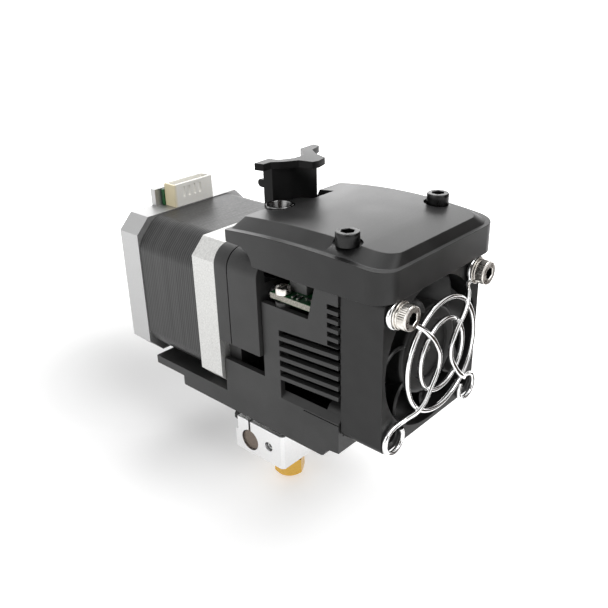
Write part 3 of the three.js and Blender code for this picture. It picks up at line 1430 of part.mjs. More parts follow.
place('fan_guard', 'chrome', fanGuard());
for (const [name, side] of Object.entries(sides)) {
  place(`fan_washer_${name}`, 'steel', fanWasher(side));
  place(`fan_spring_washer_${name}`, 'steel', fanSpringWasher(side));
  place(`fan_screw_${name}`, 'steel', fanScrewAt(side));
}

// The head hangs from the middle of the flat under its foot
head.position.set(-shell.centre, -footHole.y, -shell.floor);

export default head;
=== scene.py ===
import json
import math

import bpy
from mathutils import Matrix, Vector

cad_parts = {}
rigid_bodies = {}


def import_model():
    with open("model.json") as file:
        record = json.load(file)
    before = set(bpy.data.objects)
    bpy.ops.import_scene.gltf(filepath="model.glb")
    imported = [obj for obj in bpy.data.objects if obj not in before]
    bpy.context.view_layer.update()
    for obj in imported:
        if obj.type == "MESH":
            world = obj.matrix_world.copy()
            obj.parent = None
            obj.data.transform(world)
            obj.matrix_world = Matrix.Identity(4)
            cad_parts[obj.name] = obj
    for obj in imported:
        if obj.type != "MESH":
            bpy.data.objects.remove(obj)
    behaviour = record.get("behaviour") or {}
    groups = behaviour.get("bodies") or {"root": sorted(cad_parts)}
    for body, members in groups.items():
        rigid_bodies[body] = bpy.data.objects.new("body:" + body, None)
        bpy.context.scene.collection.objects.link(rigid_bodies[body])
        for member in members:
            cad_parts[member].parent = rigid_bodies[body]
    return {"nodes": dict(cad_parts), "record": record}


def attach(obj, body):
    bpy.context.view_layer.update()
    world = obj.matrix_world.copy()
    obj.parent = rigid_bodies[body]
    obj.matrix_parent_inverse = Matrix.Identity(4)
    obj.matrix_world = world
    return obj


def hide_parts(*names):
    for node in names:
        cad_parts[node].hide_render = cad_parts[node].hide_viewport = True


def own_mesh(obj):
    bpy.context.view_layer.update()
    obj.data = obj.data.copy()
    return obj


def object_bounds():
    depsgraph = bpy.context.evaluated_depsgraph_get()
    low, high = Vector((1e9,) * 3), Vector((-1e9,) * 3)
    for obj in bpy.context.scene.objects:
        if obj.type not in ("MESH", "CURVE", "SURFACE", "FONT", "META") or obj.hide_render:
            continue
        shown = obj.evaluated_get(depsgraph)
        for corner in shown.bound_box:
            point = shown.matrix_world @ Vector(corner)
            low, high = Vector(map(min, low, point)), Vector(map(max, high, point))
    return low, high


for thing in list(bpy.data.objects):
    bpy.data.objects.remove(thing)
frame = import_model()
cad_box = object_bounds()
MM = 0.001


# Shader maths

class Reading:
    """A shader socket that works in sums."""

    def __init__(self, finish, socket):
        self.finish = finish
        self.socket = socket

    def maths(self, operation, first, second):
        return self.finish.node("Math", {"operation": operation}, {0: first, 1: second})

    def __add__(self, other):
        return self.maths("ADD", self, other)

    def __mul__(self, other):
        return self.maths("MULTIPLY", self, other)


class Finish:
    """A material built up from nodes, with lengths in millimetres."""

    def __init__(self, name, colour, roughness, metallic=0.0, **fixed):
        self.material = bpy.data.materials.new(name)
        self.material.use_nodes = True
        self.tree = self.material.node_tree
        self.shader = self.tree.nodes["Principled BSDF"]
        self.set("Base Color", (*colour, 1))
        self.set("Roughness", roughness)
        self.set("Metallic", metallic)
        for socket, value in fixed.items():
            self.set(socket.replace("_", " "), value)

    def node(self, kind, settings=None, inputs=None, output=0):
        made = self.tree.nodes.new("ShaderNode" + kind)
        for name, value in (settings or {}).items():
            setattr(made, name, value)
        for name, value in (inputs or {}).items():
            self.feed(made.inputs[name], value)
        return Reading(self, made.outputs[output])

    def feed(self, socket, value):
        if isinstance(value, Reading):
            self.tree.links.new(value.socket, socket)
        else:
            socket.default_value = value

    def set(self, name, value):
        self.feed(self.shader.inputs[name], value)

    def where(self):
        """The place on the piece, in metres."""
        return self.node("TexCoord", output="Object")

    def along(self, axis):
        return self.node("SeparateXYZ", inputs={"Vector": self.where()}, output=axis)

    def place(self, scale=(1, 1, 1)):
        """The place on the piece in millimetres, drawn out or squeezed along each axis."""
        return self.node("Mapping", inputs={
            "Vector": self.where(), "Scale": tuple(part / MM for part in scale)})

    def grain(self, size, detail=3, stretch=(1, 1, 1), roughness=0.6):
        return self.node("TexNoise", inputs={
            "Vector": self.place(stretch), "Scale": 1 / size, "Detail": detail, "Roughness": roughness})

    def rise(self, reading, start, end, low, high, kind="LINEAR"):
        """A reading that goes from low to high as another goes from start to end."""
        return self.node("MapRange", {"interpolation_type": kind}, {
            "Value": reading, "From Min": start, "From Max": end, "To Min": low, "To Max": high})

    def between(self, low, high, reading):
        """A noise's middle part, spread from low to high."""
        return self.rise(reading, 0.3, 0.7, low, high)

    def blend(self, share, first, second):
        """A mix of two colours, each of them fixed or made by nodes."""
        first, second = (side if isinstance(side, Reading) else (*side, 1) for side in (first, second))
        return self.node("Mix", {"data_type": "RGBA"}, {0: share, 6: first, 7: second}, 2)

    def mottle(self, share, colour, dark):
        """The colour, down to its dark share where the reading is low."""
        self.set("Base Color", self.blend(share, tuple(dark * part for part in colour), colour))

    def bump(self, height, depth):
        self.set("Normal", self.node("Bump", inputs={
            "Height": height, "Strength": 1.0, "Distance": depth * MM}))
        return self.material


def level(grey):
    """The linear value of a grey as it shows on a screen."""
    share = grey / 255
    return share / 12.92 if share <= 0.04045 else ((share + 0.055) / 1.055) ** 2.4


def shade(*parts):
    """The linear colour of one grey, or of a red, a green and a blue."""
    return tuple(level(part) for part in (parts if len(parts) == 3 else parts * 3))


# Finishes

def moulded(name, colour, roughness, grain=0.25, depth=0.012, streak=None, dust=0.03, gloss=0.3):
    """Moulded plastic: a fine grain, a cloudy sheen, and specks of dust."""
    finish = Finish(name, colour, roughness, Specular_IOR_Level=gloss)
    fine = finish.grain(grain, 4)
    cloud = finish.grain(14, 2)
    specks = finish.rise(finish.grain(0.5, 2), 0.74, 0.79, 0, dust)
    body = finish.between(0, 0.25, cloud) + specks
    pale = tuple(min(c * 3 + 0.04, 1) for c in colour)
    finish.set("Base Color", finish.blend(body, colour, pale))
    sheen = cloud * 0.6 + fine * 0.4
    finish.set("Roughness", finish.between(roughness - 0.05, roughness + 0.07, sheen))
    height = fine if streak is None else fine * 0.5 + finish.grain(0.35, 3, streak)
    return finish.bump(height, depth)


def cast(name, colour, roughness, grain=0.4, depth=0.02, dark=0.75):
    """Cast or blasted metal: a speckle of light and dark grains."""
    finish = Finish(name, colour, roughness, 1.0)
    fine = finish.grain(grain, 4, roughness=0.75)
    finish.mottle(finish.between(0, 1, fine), colour, dark)
    finish.set("Roughness", finish.between(roughness - 0.06, roughness + 0.12, fine))
    return finish.bump(fine, depth)


BANDS = 3.1831  # how many bands the wave texture has to the unit, at a scale of 1


def laminated(name, colour, pitch=0.8):
    """The edges of stamped sheets, one beside the next along the shaft."""
    finish = Finish(name, colour, 0.42, 0.4)
    sheets = finish.node("TexWave", {"wave_type": "BANDS", "bands_direction": "Y"}, {
        "Vector": finish.place(), "Scale": 1 / (pitch * BANDS), "Distortion": 0.0})
    each = finish.grain(0.8, 2, (0.02, 1, 0.02))
    scuff = finish.grain(0.5, 3, (0.3, 2, 0.3))
    finish.set("Base Color", finish.blend(
        sheets * 0.5 + finish.between(0, 0.25, each) + finish.between(0, 0.2, scuff),
        tuple(0.2 * c for c in colour), tuple(1.9 * c for c in colour)))
    finish.set("Roughness", finish.between(0.34, 0.52, scuff))
    return finish.bump(sheets + each, 0.015)


def polished(name, colour, roughness, size=2.0, stretch=(1, 1, 1)):
    """Plated or turned metal with a faint haze and hairlines."""
    finish = Finish(name, colour, roughness, 1.0)
    haze = finish.grain(size, 3, stretch)
    finish.mottle(finish.between(0, 1, haze), colour, 0.85)
    finish.set("Roughness", finish.between(roughness * 0.7, roughness * 1.5, haze))
    return finish.bump(haze, 0.003)


def solder_mask(name, colour, edge, low, high):
    """Green lacquer on both faces of the board, with the pale cut laminate between them."""
    finish = Finish(name, colour, 0.3)
    middle = finish.node("Math", {"operation": "COMPARE"}, {
        0: finish.along("Z"), 1: (low + high) / 2, 2: (high - low) / 2})
    tracks = finish.rise(finish.grain(1.6, 1, (1, 0.25, 1)), 0.5, 0.54, 0, 0.6)
    layers = finish.grain(0.3, 3, (0.8, 0.8, 1.5))
    green = finish.blend(tracks, colour, tuple(0.45 * c for c in colour))
    laminate = finish.blend(finish.between(0, 1, layers), tuple(0.3 * c for c in edge), edge)
    finish.set("Base Color", finish.blend(middle, green, laminate))
    finish.set("Roughness", middle * 0.35 + 0.28)
    return finish.bump(tracks + layers * 0.3, 0.02)


def nylon(name, colour, end_colour, end):
    """Nylon that is cream at one end, from the left edge inwards, and white beyond it."""
    finish = Finish(name, colour, 0.4)
    share = finish.rise(finish.along("X"), end, end + 1.2 * MM, 0, 1)
    fine = finish.grain(0.6, 3)
    finish.set("Base Color", finish.blend(share * finish.between(0.9, 1.0, fine), end_colour, colour))
    finish.set("Roughness", finish.between(0.34, 0.46, fine))
    return finish.bump(fine, 0.01)


def left_end(node):
    """Where a node begins on the left, in metres."""
    return min(corner.co.x for corner in frame["nodes"][node].data.vertices)


BOARD_FACES = (0.0386, 0.04002)  # the heights of the circuit board's underside and top, in metres
FINISHES = {
    "pale_alloy": cast("pale cast alloy", shade(218, 218, 216), 0.5, 0.45, 0.03, 0.65),
    "cast_alloy": cast("grey cast alloy", shade(184), 0.45, 0.35, 0.02, 0.82),
    "laminations": laminated("oxidised sheet steel", shade(59)),
    "steel": polished("bright steel", shade(190), 0.25),
    "nickel": polished("nickel plate", shade(226, 222, 216), 0.26),
    "chrome": polished("chrome plate", shade(238), 0.05),
    "black_steel": polished("black oxide steel", shade(52), 0.3),
    "black_plastic": moulded(
        "black moulded plastic", shade(43), 0.4, 0.25, 0.012, (3, 3, 0.12), gloss=0.36),
    "lid_plastic": moulded("smooth black plastic", shade(26), 0.33, 0.3, 0.008),
    "fan_plastic": moulded("fan plastic", shade(22), 0.36, 0.4, 0.008, dust=0.01, gloss=0.28),
    # Painted highlight: a lighter copy of the black oxide steel, so the collar's rim shows bright arcs.
    "painted_highlight": polished("burnished steel", shade(118), 0.18),
    # Painted shade: a darker, duller copy of the black plastic, so the bracket shows as dark as in
    # shade.
    "painted_shade_black": moulded("black plastic darkened as painted shade", shade(8), 0.3, 0.4, 0.008, dust=0.01, gloss=0.1),
    "ivory": nylon(
        "ivory nylon", shade(254, 253, 248), shade(243, 230, 192), left_end("motor_connector")),
    "copper": polished("enamelled copper", shade(184, 115, 51), 0.3),
    "magnet": cast("magnet", shade(70), 0.4),
    "brass": polished("turned brass", shade(232, 186, 92), 0.22, 0.5, (0.3, 0.3, 3)),
    "aluminium": cast("milled aluminium", shade(248), 0.32, 0.5, 0.01, 0.92),
    # Painted shade: the heatsink behind the vents is coloured near black, so the vents' insides read
    # dark.
    "anodised": cast("aluminium darkened as painted shade", shade(24), 0.45),
    "solder_mask": solder_mask(
        "green solder mask", shade(22, 92, 48), shade(232, 228, 214), *BOARD_FACES),
    "grey_plastic": moulded("grey plastic", shade(120), 0.45),
    "clear_polymer": moulded("clear polymer", shade(230), 0.2),
    "ceramic": cast("dull heater metal", shade(138, 126, 116), 0.42, 0.5, 0.02, 0.6),
}
SLOT = {part["node"]: part["material_slot"] for part in frame["record"]["subparts"]}


def dress_frame():
    """Gives every solid of the frame the finish of its slot."""
    for node, piece in frame["nodes"].items():
        for place in range(len(piece.data.materials)):
            piece.data.materials[place] = FINISHES[SLOT[node]]


dress_frame()


# Modelling by hand

ORIGIN = (-0.5, -9, 27)
BODY = {
    node: body for body, nodes in frame["record"]["behaviour"]["bodies"].items() for node in nodes}


def at(x, y, z):
    """A place measured in millimetres from where the shaft leaves the motor."""
    return Vector((x + ORIGIN[0], y + ORIGIN[1], z + ORIGIN[2])) * MM


def only(piece):
    """Selects one piece and nothing else."""
    bpy.ops.object.select_all(action="DESELECT")
    piece.select_set(True)
    bpy.context.view_layer.objects.active = piece


def edit(piece, kind="FACE"):
    only(piece)
    bpy.ops.object.mode_set(mode="EDIT")
    bpy.ops.mesh.select_mode(type=kind)


def leave():
    bpy.ops.object.mode_set(mode="OBJECT")


def pick(piece, kind, wanted):
    """Selects the faces or edges that pass a test of their middle and their direction."""
    edit(piece, kind)
    bpy.ops.mesh.select_all(action="DESELECT")
    leave()
    mesh = piece.data
    for face in mesh.polygons if kind == "FACE" else ():
        face.select = wanted(face.center, face.normal)
    for edge in mesh.edges if kind == "EDGE" else ():
        first, second = (mesh.vertices[i].co for i in edge.vertices)
        edge.select = wanted((first + second) / 2, (second - first).normalized())
    edit(piece, kind)


def modify(piece, kind, **settings):
    only(piece)
    made = piece.modifiers.new(kind.lower(), kind)
    for name, value in settings.items():
        setattr(made, name, value)
    bpy.ops.object.modifier_apply(modifier=made.name)


def carve(piece, *cutters):
    for cutter in cutters:
        modify(piece, "BOOLEAN", operation="DIFFERENCE", object=cutter, solver="EXACT")
        bpy.data.objects.remove(cutter)


def join(piece, *others):
    only(piece)
    for other in others:
        other.select_set(True)
    bpy.ops.object.join()
    return piece


def apply_place(piece):
    only(piece)
    bpy.ops.object.transform_apply(location=True, rotation=True, scale=True)


def block(name, low, high):
    """A box between two corners, which is then shaped."""
    first, second = at(*low), at(*high)
    bpy.ops.mesh.primitive_cube_add(size=1, location=(first + second) / 2, scale=second - first)
    piece = bpy.context.object
    piece.name = name
    apply_place(piece)
    return piece


QUARTER = math.pi / 2
TURNS = {"X": (0, QUARTER, 0), "Y": (-QUARTER, 0, 0), "-Y": (QUARTER, 0, 0), "Z": (0, 0, 0)}


def turned(name, place, axis, profile, sides=64, ring=False):
    """A round piece: a circle that is extruded and scaled from one radius and height to the next."""
    radius, height = profile[0]
    bpy.ops.mesh.primitive_circle_add(
        vertices=sides, radius=radius * MM, location=(0, 0, height * MM),
        fill_type="NOTHING" if ring else "NGON")
    piece = bpy.context.object
    piece.name = name
    apply_place(piece)
    edit(piece, "EDGE" if ring else "FACE")
    bpy.ops.mesh.select_all(action="SELECT")
    extrude = bpy.ops.mesh.extrude_edges_move if ring else bpy.ops.mesh.extrude_region_move
    for (radius, height), (wider, higher) in zip(profile, profile[1:]):
        extrude(TRANSFORM_OT_translate={"value": (0, 0, (higher - height) * MM)})
        share = wider / radius
        bpy.ops.transform.resize(value=(share, share, 1), center_override=(0, 0, higher * MM))
    bpy.ops.mesh.select_all(action="SELECT")
    bpy.ops.mesh.remove_doubles(threshold=1e-6)
    bpy.ops.mesh.normals_make_consistent(inside=False)
    leave()
    piece.rotation_euler = TURNS[axis]
    piece.location = at(*place)
    apply_place(piece)
    return piece


def soften(piece, width, angle=38, segments=2):
    modify(
        piece, "BEVEL", width=width * MM, segments=segments, limit_method="ANGLE",
        angle_limit=math.radians(angle), use_clamp_overlap=True, miter_outer="MITER_ARC")


def round_edges(piece, radius, steps, wanted):
    """Rounds the edges that pass a test of their middle and their direction."""
    pick(piece, "EDGE", wanted)
    bpy.ops.mesh.bevel(offset=radius * MM, segments=steps, affect="EDGES")
    leave()


def finished(piece, finish, body="frame", replaced=(), smooth=32, look=None):
    only(piece)
    bpy.ops.object.shade_smooth_by_angle(angle=math.radians(smooth))
    modify(piece, "WEIGHTED_NORMAL", keep_sharp=True)
    piece.data.materials.clear()
    piece.data.materials.append(FINISHES[look or finish])
    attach(piece, body)
    if replaced:
        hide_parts(*replaced)
    return piece


def softened(node, width, rounded=None, rounding=0, carved=(), look=None):
    """The node's own solid with its edges eased, some of them rounded further, and then carved."""
    piece = bpy.data.objects.new(node + "_eased", frame["nodes"][node].data.copy())
    bpy.context.scene.collection.objects.link(piece)
    edit(piece)
    bpy.ops.mesh.select_all(action="SELECT")
    bpy.ops.mesh.remove_doubles(threshold=1e-6)
    bpy.ops.mesh.dissolve_limited(angle_limit=math.radians(1))
    leave()
    if rounded:
        round_edges(piece, rounding, 6, rounded)
    soften(piece, width)
    carve(piece, *carved)
    return finished(piece, SLOT[node], BODY[node], (node,), look=look)


# Screws

def socket_screw(name, place, axis, head, height, shank, reach, flat, depth, knurl=0):
    """A cap screw whose head stands on its place; knurl is how many teeth the side has."""
    sides = 2 * knurl if knurl else 48
    band = 0.75 * height if knurl else 0.6 * height
    screw = turned(name, (0, 0, 0), "Z", [
        (shank - 0.2, -reach), (shank, 0.2 - reach), (shank, 0), (head - 0.12, 0), (head, 0.12),
        (head, band), (head, band + 0.06), (head, height - 0.3), (head - 0.12, height - 0.09),
        (head - 0.3, height)], sides)
    if knurl:
        outer = at(0, 0, 0)
        for corner in screw.data.vertices:
            offset = corner.co - outer
            reached = Vector((offset.x, offset.y)).length
            notch = round(math.atan2(offset.y, offset.x) / math.pi * knurl) % 2
            if notch and reached > (head - 0.05) * MM and 0.1 * MM < offset.z < (band + 0.03) * MM:
                corner.co = outer + Vector((0.94 * offset.x, 0.94 * offset.y, offset.z))
    point = flat * (2 / math.sqrt(3))
    socket = turned("socket", (0, 0, 0), "Z", [
        (0.2 * flat, height - depth - 0.4), (point, height - depth), (point, height - 0.12),
        (point + 0.35, height + 0.3)], 6)
    carve(screw, socket)
    screw.data.transform(Matrix.Translation(-at(0, 0, 0)))
    screw.rotation_euler = TURNS[axis]
    screw.location = at(*place)
    apply_place(screw)
    return screw


def slab(name, outline, low, high, upright=False):
    """A flat sheet cut to an outline and extruded to its thickness, upwards or across."""
    spot = (lambda a, b, h: at(h, a, b)) if upright else at
    bpy.ops.mesh.primitive_circle_add(vertices=len(outline), radius=MM, fill_type="NGON")
    sheet = bpy.context.object
    sheet.name = name
    for corner, (a, b) in zip(sheet.data.vertices, outline):
        corner.co = spot(a, b, low)
    edit(sheet)
    bpy.ops.mesh.select_all(action="SELECT")
    thickness = spot(0, 0, high) - spot(0, 0, low)
    bpy.ops.mesh.extrude_region_move(TRANSFORM_OT_translate={"value": thickness})
    bpy.ops.mesh.select_all(action="SELECT")
    bpy.ops.mesh.normals_make_consistent(inside=False)
    leave()
    return sheet


def wire(name, points, radius, closed=False):
    """A round wire bent through a line of points."""
    bpy.ops.curve.primitive_bezier_curve_add()
    bent = bpy.context.object
    bent.name = name
    line = bent.data.splines[0]
    line.bezier_points.add(len(points) - 2)
    for knot, point in zip(line.bezier_points, points):
        knot.co = at(*point)
        knot.handle_left_type = knot.handle_right_type = "AUTO"
    line.use_cyclic_u = closed
    line.resolution_u = 10
    bent.data.bevel_depth = radius * MM
    bent.data.bevel_resolution = 5
    bent.data.use_fill_caps = not closed
    only(bent)
    bpy.ops.object.convert(target="MESH")
    bent = bpy.context.object
    edit(bent)
    bpy.ops.mesh.select_all(action="SELECT")
    bpy.ops.mesh.remove_doubles(threshold=1e-6)
    bpy.ops.mesh.normals_make_consistent(inside=False)
    leave()
    apply_place(bent)
    return bent


# Shell and lid

LID = {
    "centre": 1.0, "half": 23.4, "front": -54.5, "rear": -6.2, "skirt": 20.4, "shoulder": 29.2,
    "front_corner": 5.6, "rear_corner": 0.8, "wall": 1.5, "bow": 0.8, "peak": -31, "fall": 1.6,
    "fall_reach": 24}
LID_SLICES, SLICE = 18, 2.2
# How far the top draws in from its sides and from its ends, and how far it rises, step by step
LID_STEPS = ((1.5, 0.9, 0), (5.3, 2.1, 2.2))
LID_SCREWS = {"left": (-17.6, -41), "right": (17.6, -41)}
FILAMENT = (-6.375, -10)


def housing():
    """The moulded shell, with the seam that runs below the vents to its front corner."""
    softened("housing", 0.3, carved=[
        block("seam", (-21, -40.6, -16.1), (-19.7, -28.8, -15.8)),
        block("corner_seam", (-21, -40.9, -19.6), (-19.7, -40.55, -14.3))])


def crown_lid(cover):
    """Bows the sides out and lets the top fall away to the front and the back."""
    centre = at(LID["centre"], LID["peak"], 0)
    low, high = at(0, 0, LID["skirt"]).z, at(0, 0, LID["shoulder"]).z
    rear = at(0, LID["rear"] - LID["rear_corner"], 0).y
    front = at(0, LID["front"] + LID["front_corner"], 0).y
    for corner in cover.data.vertices:
        along = min(max((corner.co.y - rear) / (front - rear), 0), 1)
        across = (corner.co.x - centre.x) / (LID["half"] * MM)
        corner.co.x += LID["bow"] * MM * 4 * along * (1 - along) * across
        share = min((corner.co.z - low) / (high - low), 1)
        away = (corner.co.y - centre.y) / (LID["fall_reach"] * MM)
        corner.co.z -= LID["fall"] * MM * away ** 2 * share


def lid_form(name, inward):
    """The lid's whole outer form, or the same form a wall's thickness further in."""
    half, front, rear = LID["half"] - inward, LID["front"] + inward, LID["rear"] - inward
    form = block(
        name, (LID["centre"] - half, front, LID["skirt"] - inward),
        (LID["centre"] + half, rear, LID["shoulder"] - inward))
    for y, corner, steps in (
            (front, LID["front_corner"] - inward / 2, 9), (rear, LID["rear_corner"], 3)):
        edge = at(0, y, 0).y
        round_edges(form, corner, steps, lambda middle, along: (
            abs(along.z) > 0.9 and abs(middle.y - edge) < 0.1 * MM))
    edit(form)
    for step in range(1, LID_SLICES + 1):
        bpy.ops.mesh.select_all(action="SELECT")
        cut = at(0, rear - LID["rear_corner"] - step * SLICE, 0)
        bpy.ops.mesh.bisect(plane_co=cut, plane_no=(0, 1, 0))
    leave()
    pick(form, "FACE", lambda middle, normal: normal.z > 0.9)
    half_length = (rear - front) / 2
    middle = at(LID["centre"], (front + rear) / 2, LID["shoulder"] - inward)
    wide, deep = half, half_length
    for side, end, rise in LID_STEPS:
        bpy.ops.mesh.extrude_region_move(TRANSFORM_OT_translate={"value": (0, 0, rise * MM)})
        bpy.ops.transform.resize(
            value=((half - side) / wide, (half_length - end) / deep, 1), center_override=middle)
        wide, deep = half - side, half_length - end
    leave()
    crown_lid(form)
    if not inward:
        soften(form, 0.9, 14, 4)
    return form


def lid():
    """The cover with its room, the arch over the lever, the gap at the bracket and its holes."""
    cover = lid_form("lid_cover", 0)
    back, up, radius = -11.6, 20.2, 4.4
    arch = [(0, 19.4), (-16, 19.4)]
    for step in range(13):
        turn = math.radians(7.5 * step)
        arch.append((back - radius * math.cos(turn), up + radius * math.sin(turn)))
    arch.append((0, 24.6))
    openings = [
        lid_form("lid_room", LID["wall"]),
        slab("arch", arch, -30, 30, upright=True),
        slab("bracket_gap", [
            (-8.175, -5.2), (-8.175, -6.9), (-2.6, -6.9), (-0.6, -7.7), (2, -9.6), (2.6, -13.3),
            (10.8, -13.3), (10.8, -5.2)], 23.6, 33),
        turned("collar_hole", (*FILAMENT, 0), "Z", [(3.9, 23.6), (3.9, 33)]),
    ]
    for x, y in LID_SCREWS.values():
        openings.append(turned("pocket", (x, y, 0), "Z", [(3.2, 30.3), (3.45, 30.4), (3.45, 33)]))
        openings.append(turned("screw_hole", (x, y, 0), "Z", [(1.8, 25), (1.8, 33)], 32))
    carve(cover, *openings)
    soften(cover, 0.2, 40, 2)
    return finished(cover, "lid_plastic", replaced=("lid",), smooth=40)


# Fan

FAN = (0.5, 0.7)
FAN_HALF, FAN_HOLE = 20, 16
FAN_FRONT, FAN_REAR = -52.5, -40.5
BLADES, STRUTS = 7, 3
BLADE_ROOT, BLADE_REACH, BLADE_DEPTH = 11.2, 7, 7.6
BLADE_SWEEP, BLADE_TWIST = 16, 34


def turn_about(angle, x, z):
    middle = at(x, 0, z)
    return Matrix.Translation(middle) @ Matrix.Rotation(angle, 4, "Y") @ Matrix.Translation(-middle)


def spun(piece, count, name):
    """Copies of a piece, each with its own mesh, turned evenly about the fan's axle."""
    copies = []
    for step in range(1, count):
        copy = bpy.data.objects.new(name, piece.data.copy())
        bpy.context.scene.collection.objects.link(copy)
        copy.data.transform(turn_about(2 * math.pi * step / count, *FAN))
        copies.append(copy)
    return copies


def fan_frame():
    """The square frame, with the middle that carries the wheel on three struts."""
    x, z = FAN
    body = block(
        "fan_body", (x - FAN_HALF, FAN_FRONT, z - FAN_HALF), (x + FAN_HALF, FAN_REAR, z + FAN_HALF))
    round_edges(body, 2.2, 6, lambda middle, along: abs(along.y) > 0.9)
    low, back = at(0, 0, z - FAN_HALF).z, at(0, FAN_REAR, 0).y
    round_edges(body, 2.4, 5, lambda middle, along: (
        abs(middle.z - low) < 0.01 * MM and abs(middle.y - back) < 0.01 * MM))
    start, end = FAN_FRONT - 1.5, FAN_REAR + 1.5
    cutters = [turned("bore", (x, 0, z), "Y", [(18.9, start), (18.9, end)], 128)]
    for a in (-FAN_HOLE, FAN_HOLE):
        for b in (-FAN_HOLE, FAN_HOLE):
            cutters.append(turned("hole", (x + a, 0, z + b), "Y", [(1.8, start), (1.8, end)], 32))
    carve(body, *cutters)
    soften(body, 0.25, 30, 2)
    base = turned("fan_base", (x, 0, z), "Y", [(10.1, -42.1), (10.5, -41.8), (10.5, -40.5)], 64)
    tube = turned("fan_tube", (x, 0, z), "Y", [
        (1.35, -48.1), (3.6, -48.1), (3.6, -41.9), (1.35, -41.9), (1.35, -48.1)], 40, True)
    strut = block("fan_strut", (x + 9.8, -42.1, z - 1.1), (x + 19.1, FAN_REAR, z + 1.1))
    strut.data.transform(turn_about(math.radians(-60), x, z))
    soften(strut, 0.3, 30, 2)
    struts = spun(strut, STRUTS, "fan_strut")
    return finished(join(body, base, tube, strut, *struts), "fan_plastic", replaced=("fan_frame",))


def fan_wheel():
    """A cup with curved blades, each swept from a flat grid."""
    x, z = FAN
    front = FAN_FRONT + 1
    hub = turned("fan_hub", (x, 0, z), "Y", [
        (1.3, front + 0.5), (7.6, front + 0.5), (7.8, front + 0.05), (8.1, front), (10.2, front),
        (10.9, front + 0.15), (11.35, front + 0.5), (11.5, front + 1.1), (11.5, front + 7.9),
        (10.3, front + 8), (10.3, front + 1.3), (1.3, front + 1.3), (1.3, front + 0.5)], 96, True)
    bpy.ops.mesh.primitive_grid_add(x_subdivisions=10, y_subdivisions=10, size=1)
    blade = bpy.context.object
    for corner in blade.data.vertices:
        out, back = corner.co.x + 0.5, corner.co.y + 0.5
        reach = BLADE_ROOT + out * BLADE_REACH
        turn = math.radians(BLADE_SWEEP * out * out + BLADE_TWIST * back)
        corner.co = at(
            x + reach * math.cos(turn), front + BLADE_DEPTH * back, z + reach * math.sin(turn))
    modify(blade, "SOLIDIFY", thickness=0.8 * MM, offset=0)
    soften(blade, 0.2, 40, 2)
    blades = spun(blade, BLADES, "blade")
    return finished(join(hub, blade, *blades), "fan_plastic", "fan_wheel", ("fan_rotor",), 40)


# Wire guard

WIRE = 0.65
GUARD_RINGS, RING_PLANE = (14.2, 9), -55.1
EYE_PLANE, ARM_RISE = -53.25, 2.8
# Points of an arm from the upper screw to the lower loop: across and up, as shares of the holes'
# half pitch, and how far out of the eye's plane
ARM = (
    (0.91, 0.88, 0), (0.81, 0.82, 0), (0.69, 0.74, 0.55), (0.5, 0.56, 1), (0.26, 0.28, 1),
    (0.15, 0, 1), (0.34, -0.38, 1), (0.62, -0.66, 0.9), (0.8, -0.78, 0.3))


def bend(side, centre, radius, degrees):
    """Places round a circle in the eye's plane, on the left or the right of the fan."""
    turns = [math.radians(turn) for turn in degrees]
    return [(side * (centre[0] + radius * math.cos(turn)), EYE_PLANE,
             centre[1] + radius * math.sin(turn)) for turn in turns]


def guard():
    """Two rings on two bent arms, each with an eye under its screw and an open loop below."""
    x, z = FAN
    rings = []
    for radius in GUARD_RINGS:
        bpy.ops.mesh.primitive_torus_add(
            major_radius=radius * MM, minor_radius=WIRE * MM, major_segments=96, minor_segments=14,
            rotation=(QUARTER, 0, 0), location=at(x, RING_PLANE, z))
        rings.append(bpy.context.object)
        apply_place(rings[-1])
    arms = []
    for side in (-1, 1):
        eye = bend(side, (16.4, FAN_HOLE), 2.9, (-18 + 45 * step for step in range(8)))
        arms.append(wire("guard_eye", [(x + a, y, z + b) for a, y, b in eye], WIRE, True))
        arm = [(side * FAN_HOLE * a, EYE_PLANE - ARM_RISE * out, FAN_HOLE * b) for a, b, out in ARM]
        loop = bend(side, (FAN_HOLE, -17), 3.45, (75 - 290 * step / 8 for step in range(9)))
        arms.append(wire("guard_arm", [(x + a, y, z + b) for a, y, b in arm + loop], WIRE))
    return finished(join(*rings, *arms), "chrome", replaced=("fan_guard",), smooth=50)


def fan_screws():
    """At each upper corner a washer, a spring washer and a knurled screw, whose socket is lined with a
    black cup as painted shade.
    """
    for name, side in (("left", -1), ("right", 1)):
        place = (FAN[0] + FAN_HOLE * side, 0, FAN[1] + FAN_HOLE)
        washer = turned("guard_washer_" + name, place, "Y", [
            (1.7, -54.4), (3.2, -54.4), (3.3, -54.32), (3.3, -54.05), (3.22, -54), (1.7, -54),
            (1.7, -54.4)], 64, True)
        finished(washer, "nickel", replaced=("fan_washer_" + name,))
        spring = turned("guard_spring_washer_" + name, place, "Y", [
            (1.7, -54.88), (2.9, -54.88), (3, -54.8), (3, -54.5), (2.9, -54.42), (1.7, -54.42),
            (1.7, -54.88)], 64, True)
        slit = block("slit", (place[0], -56, place[2] - 0.3), (place[0] + 4, -53, place[2] + 0.3))
        slit.data.transform(turn_about(math.radians(35), place[0], place[2]))
        carve(spring, slit)
        finished(spring, "nickel", replaced=("fan_spring_washer_" + name,))
        screw = socket_screw(
            "guard_screw_" + name, (place[0], -54.9, place[2]), "-Y", head=2.95, height=2.4,
            shank=1.5, reach=18.9, flat=1.4, depth=1.3, knurl=36)
        finished(screw, "nickel", replaced=("fan_screw_" + name,))
        # Painted shade: a black cup lining the screw's socket darkens the recess.
        painted_shade_lining = turned("guard_socket_painted_shade_" + name, place, "Y", [
            (1.58, -55.85), (1.58, -57.15), (1.42, -57.15), (1.3, -56)], 6)
        finished(painted_shade_lining, "black_steel")


# Lid and bracket screws

BRACKET_SCREWS = {"left": (-6.7, -2.3), "right": (4.4, -2.3)}


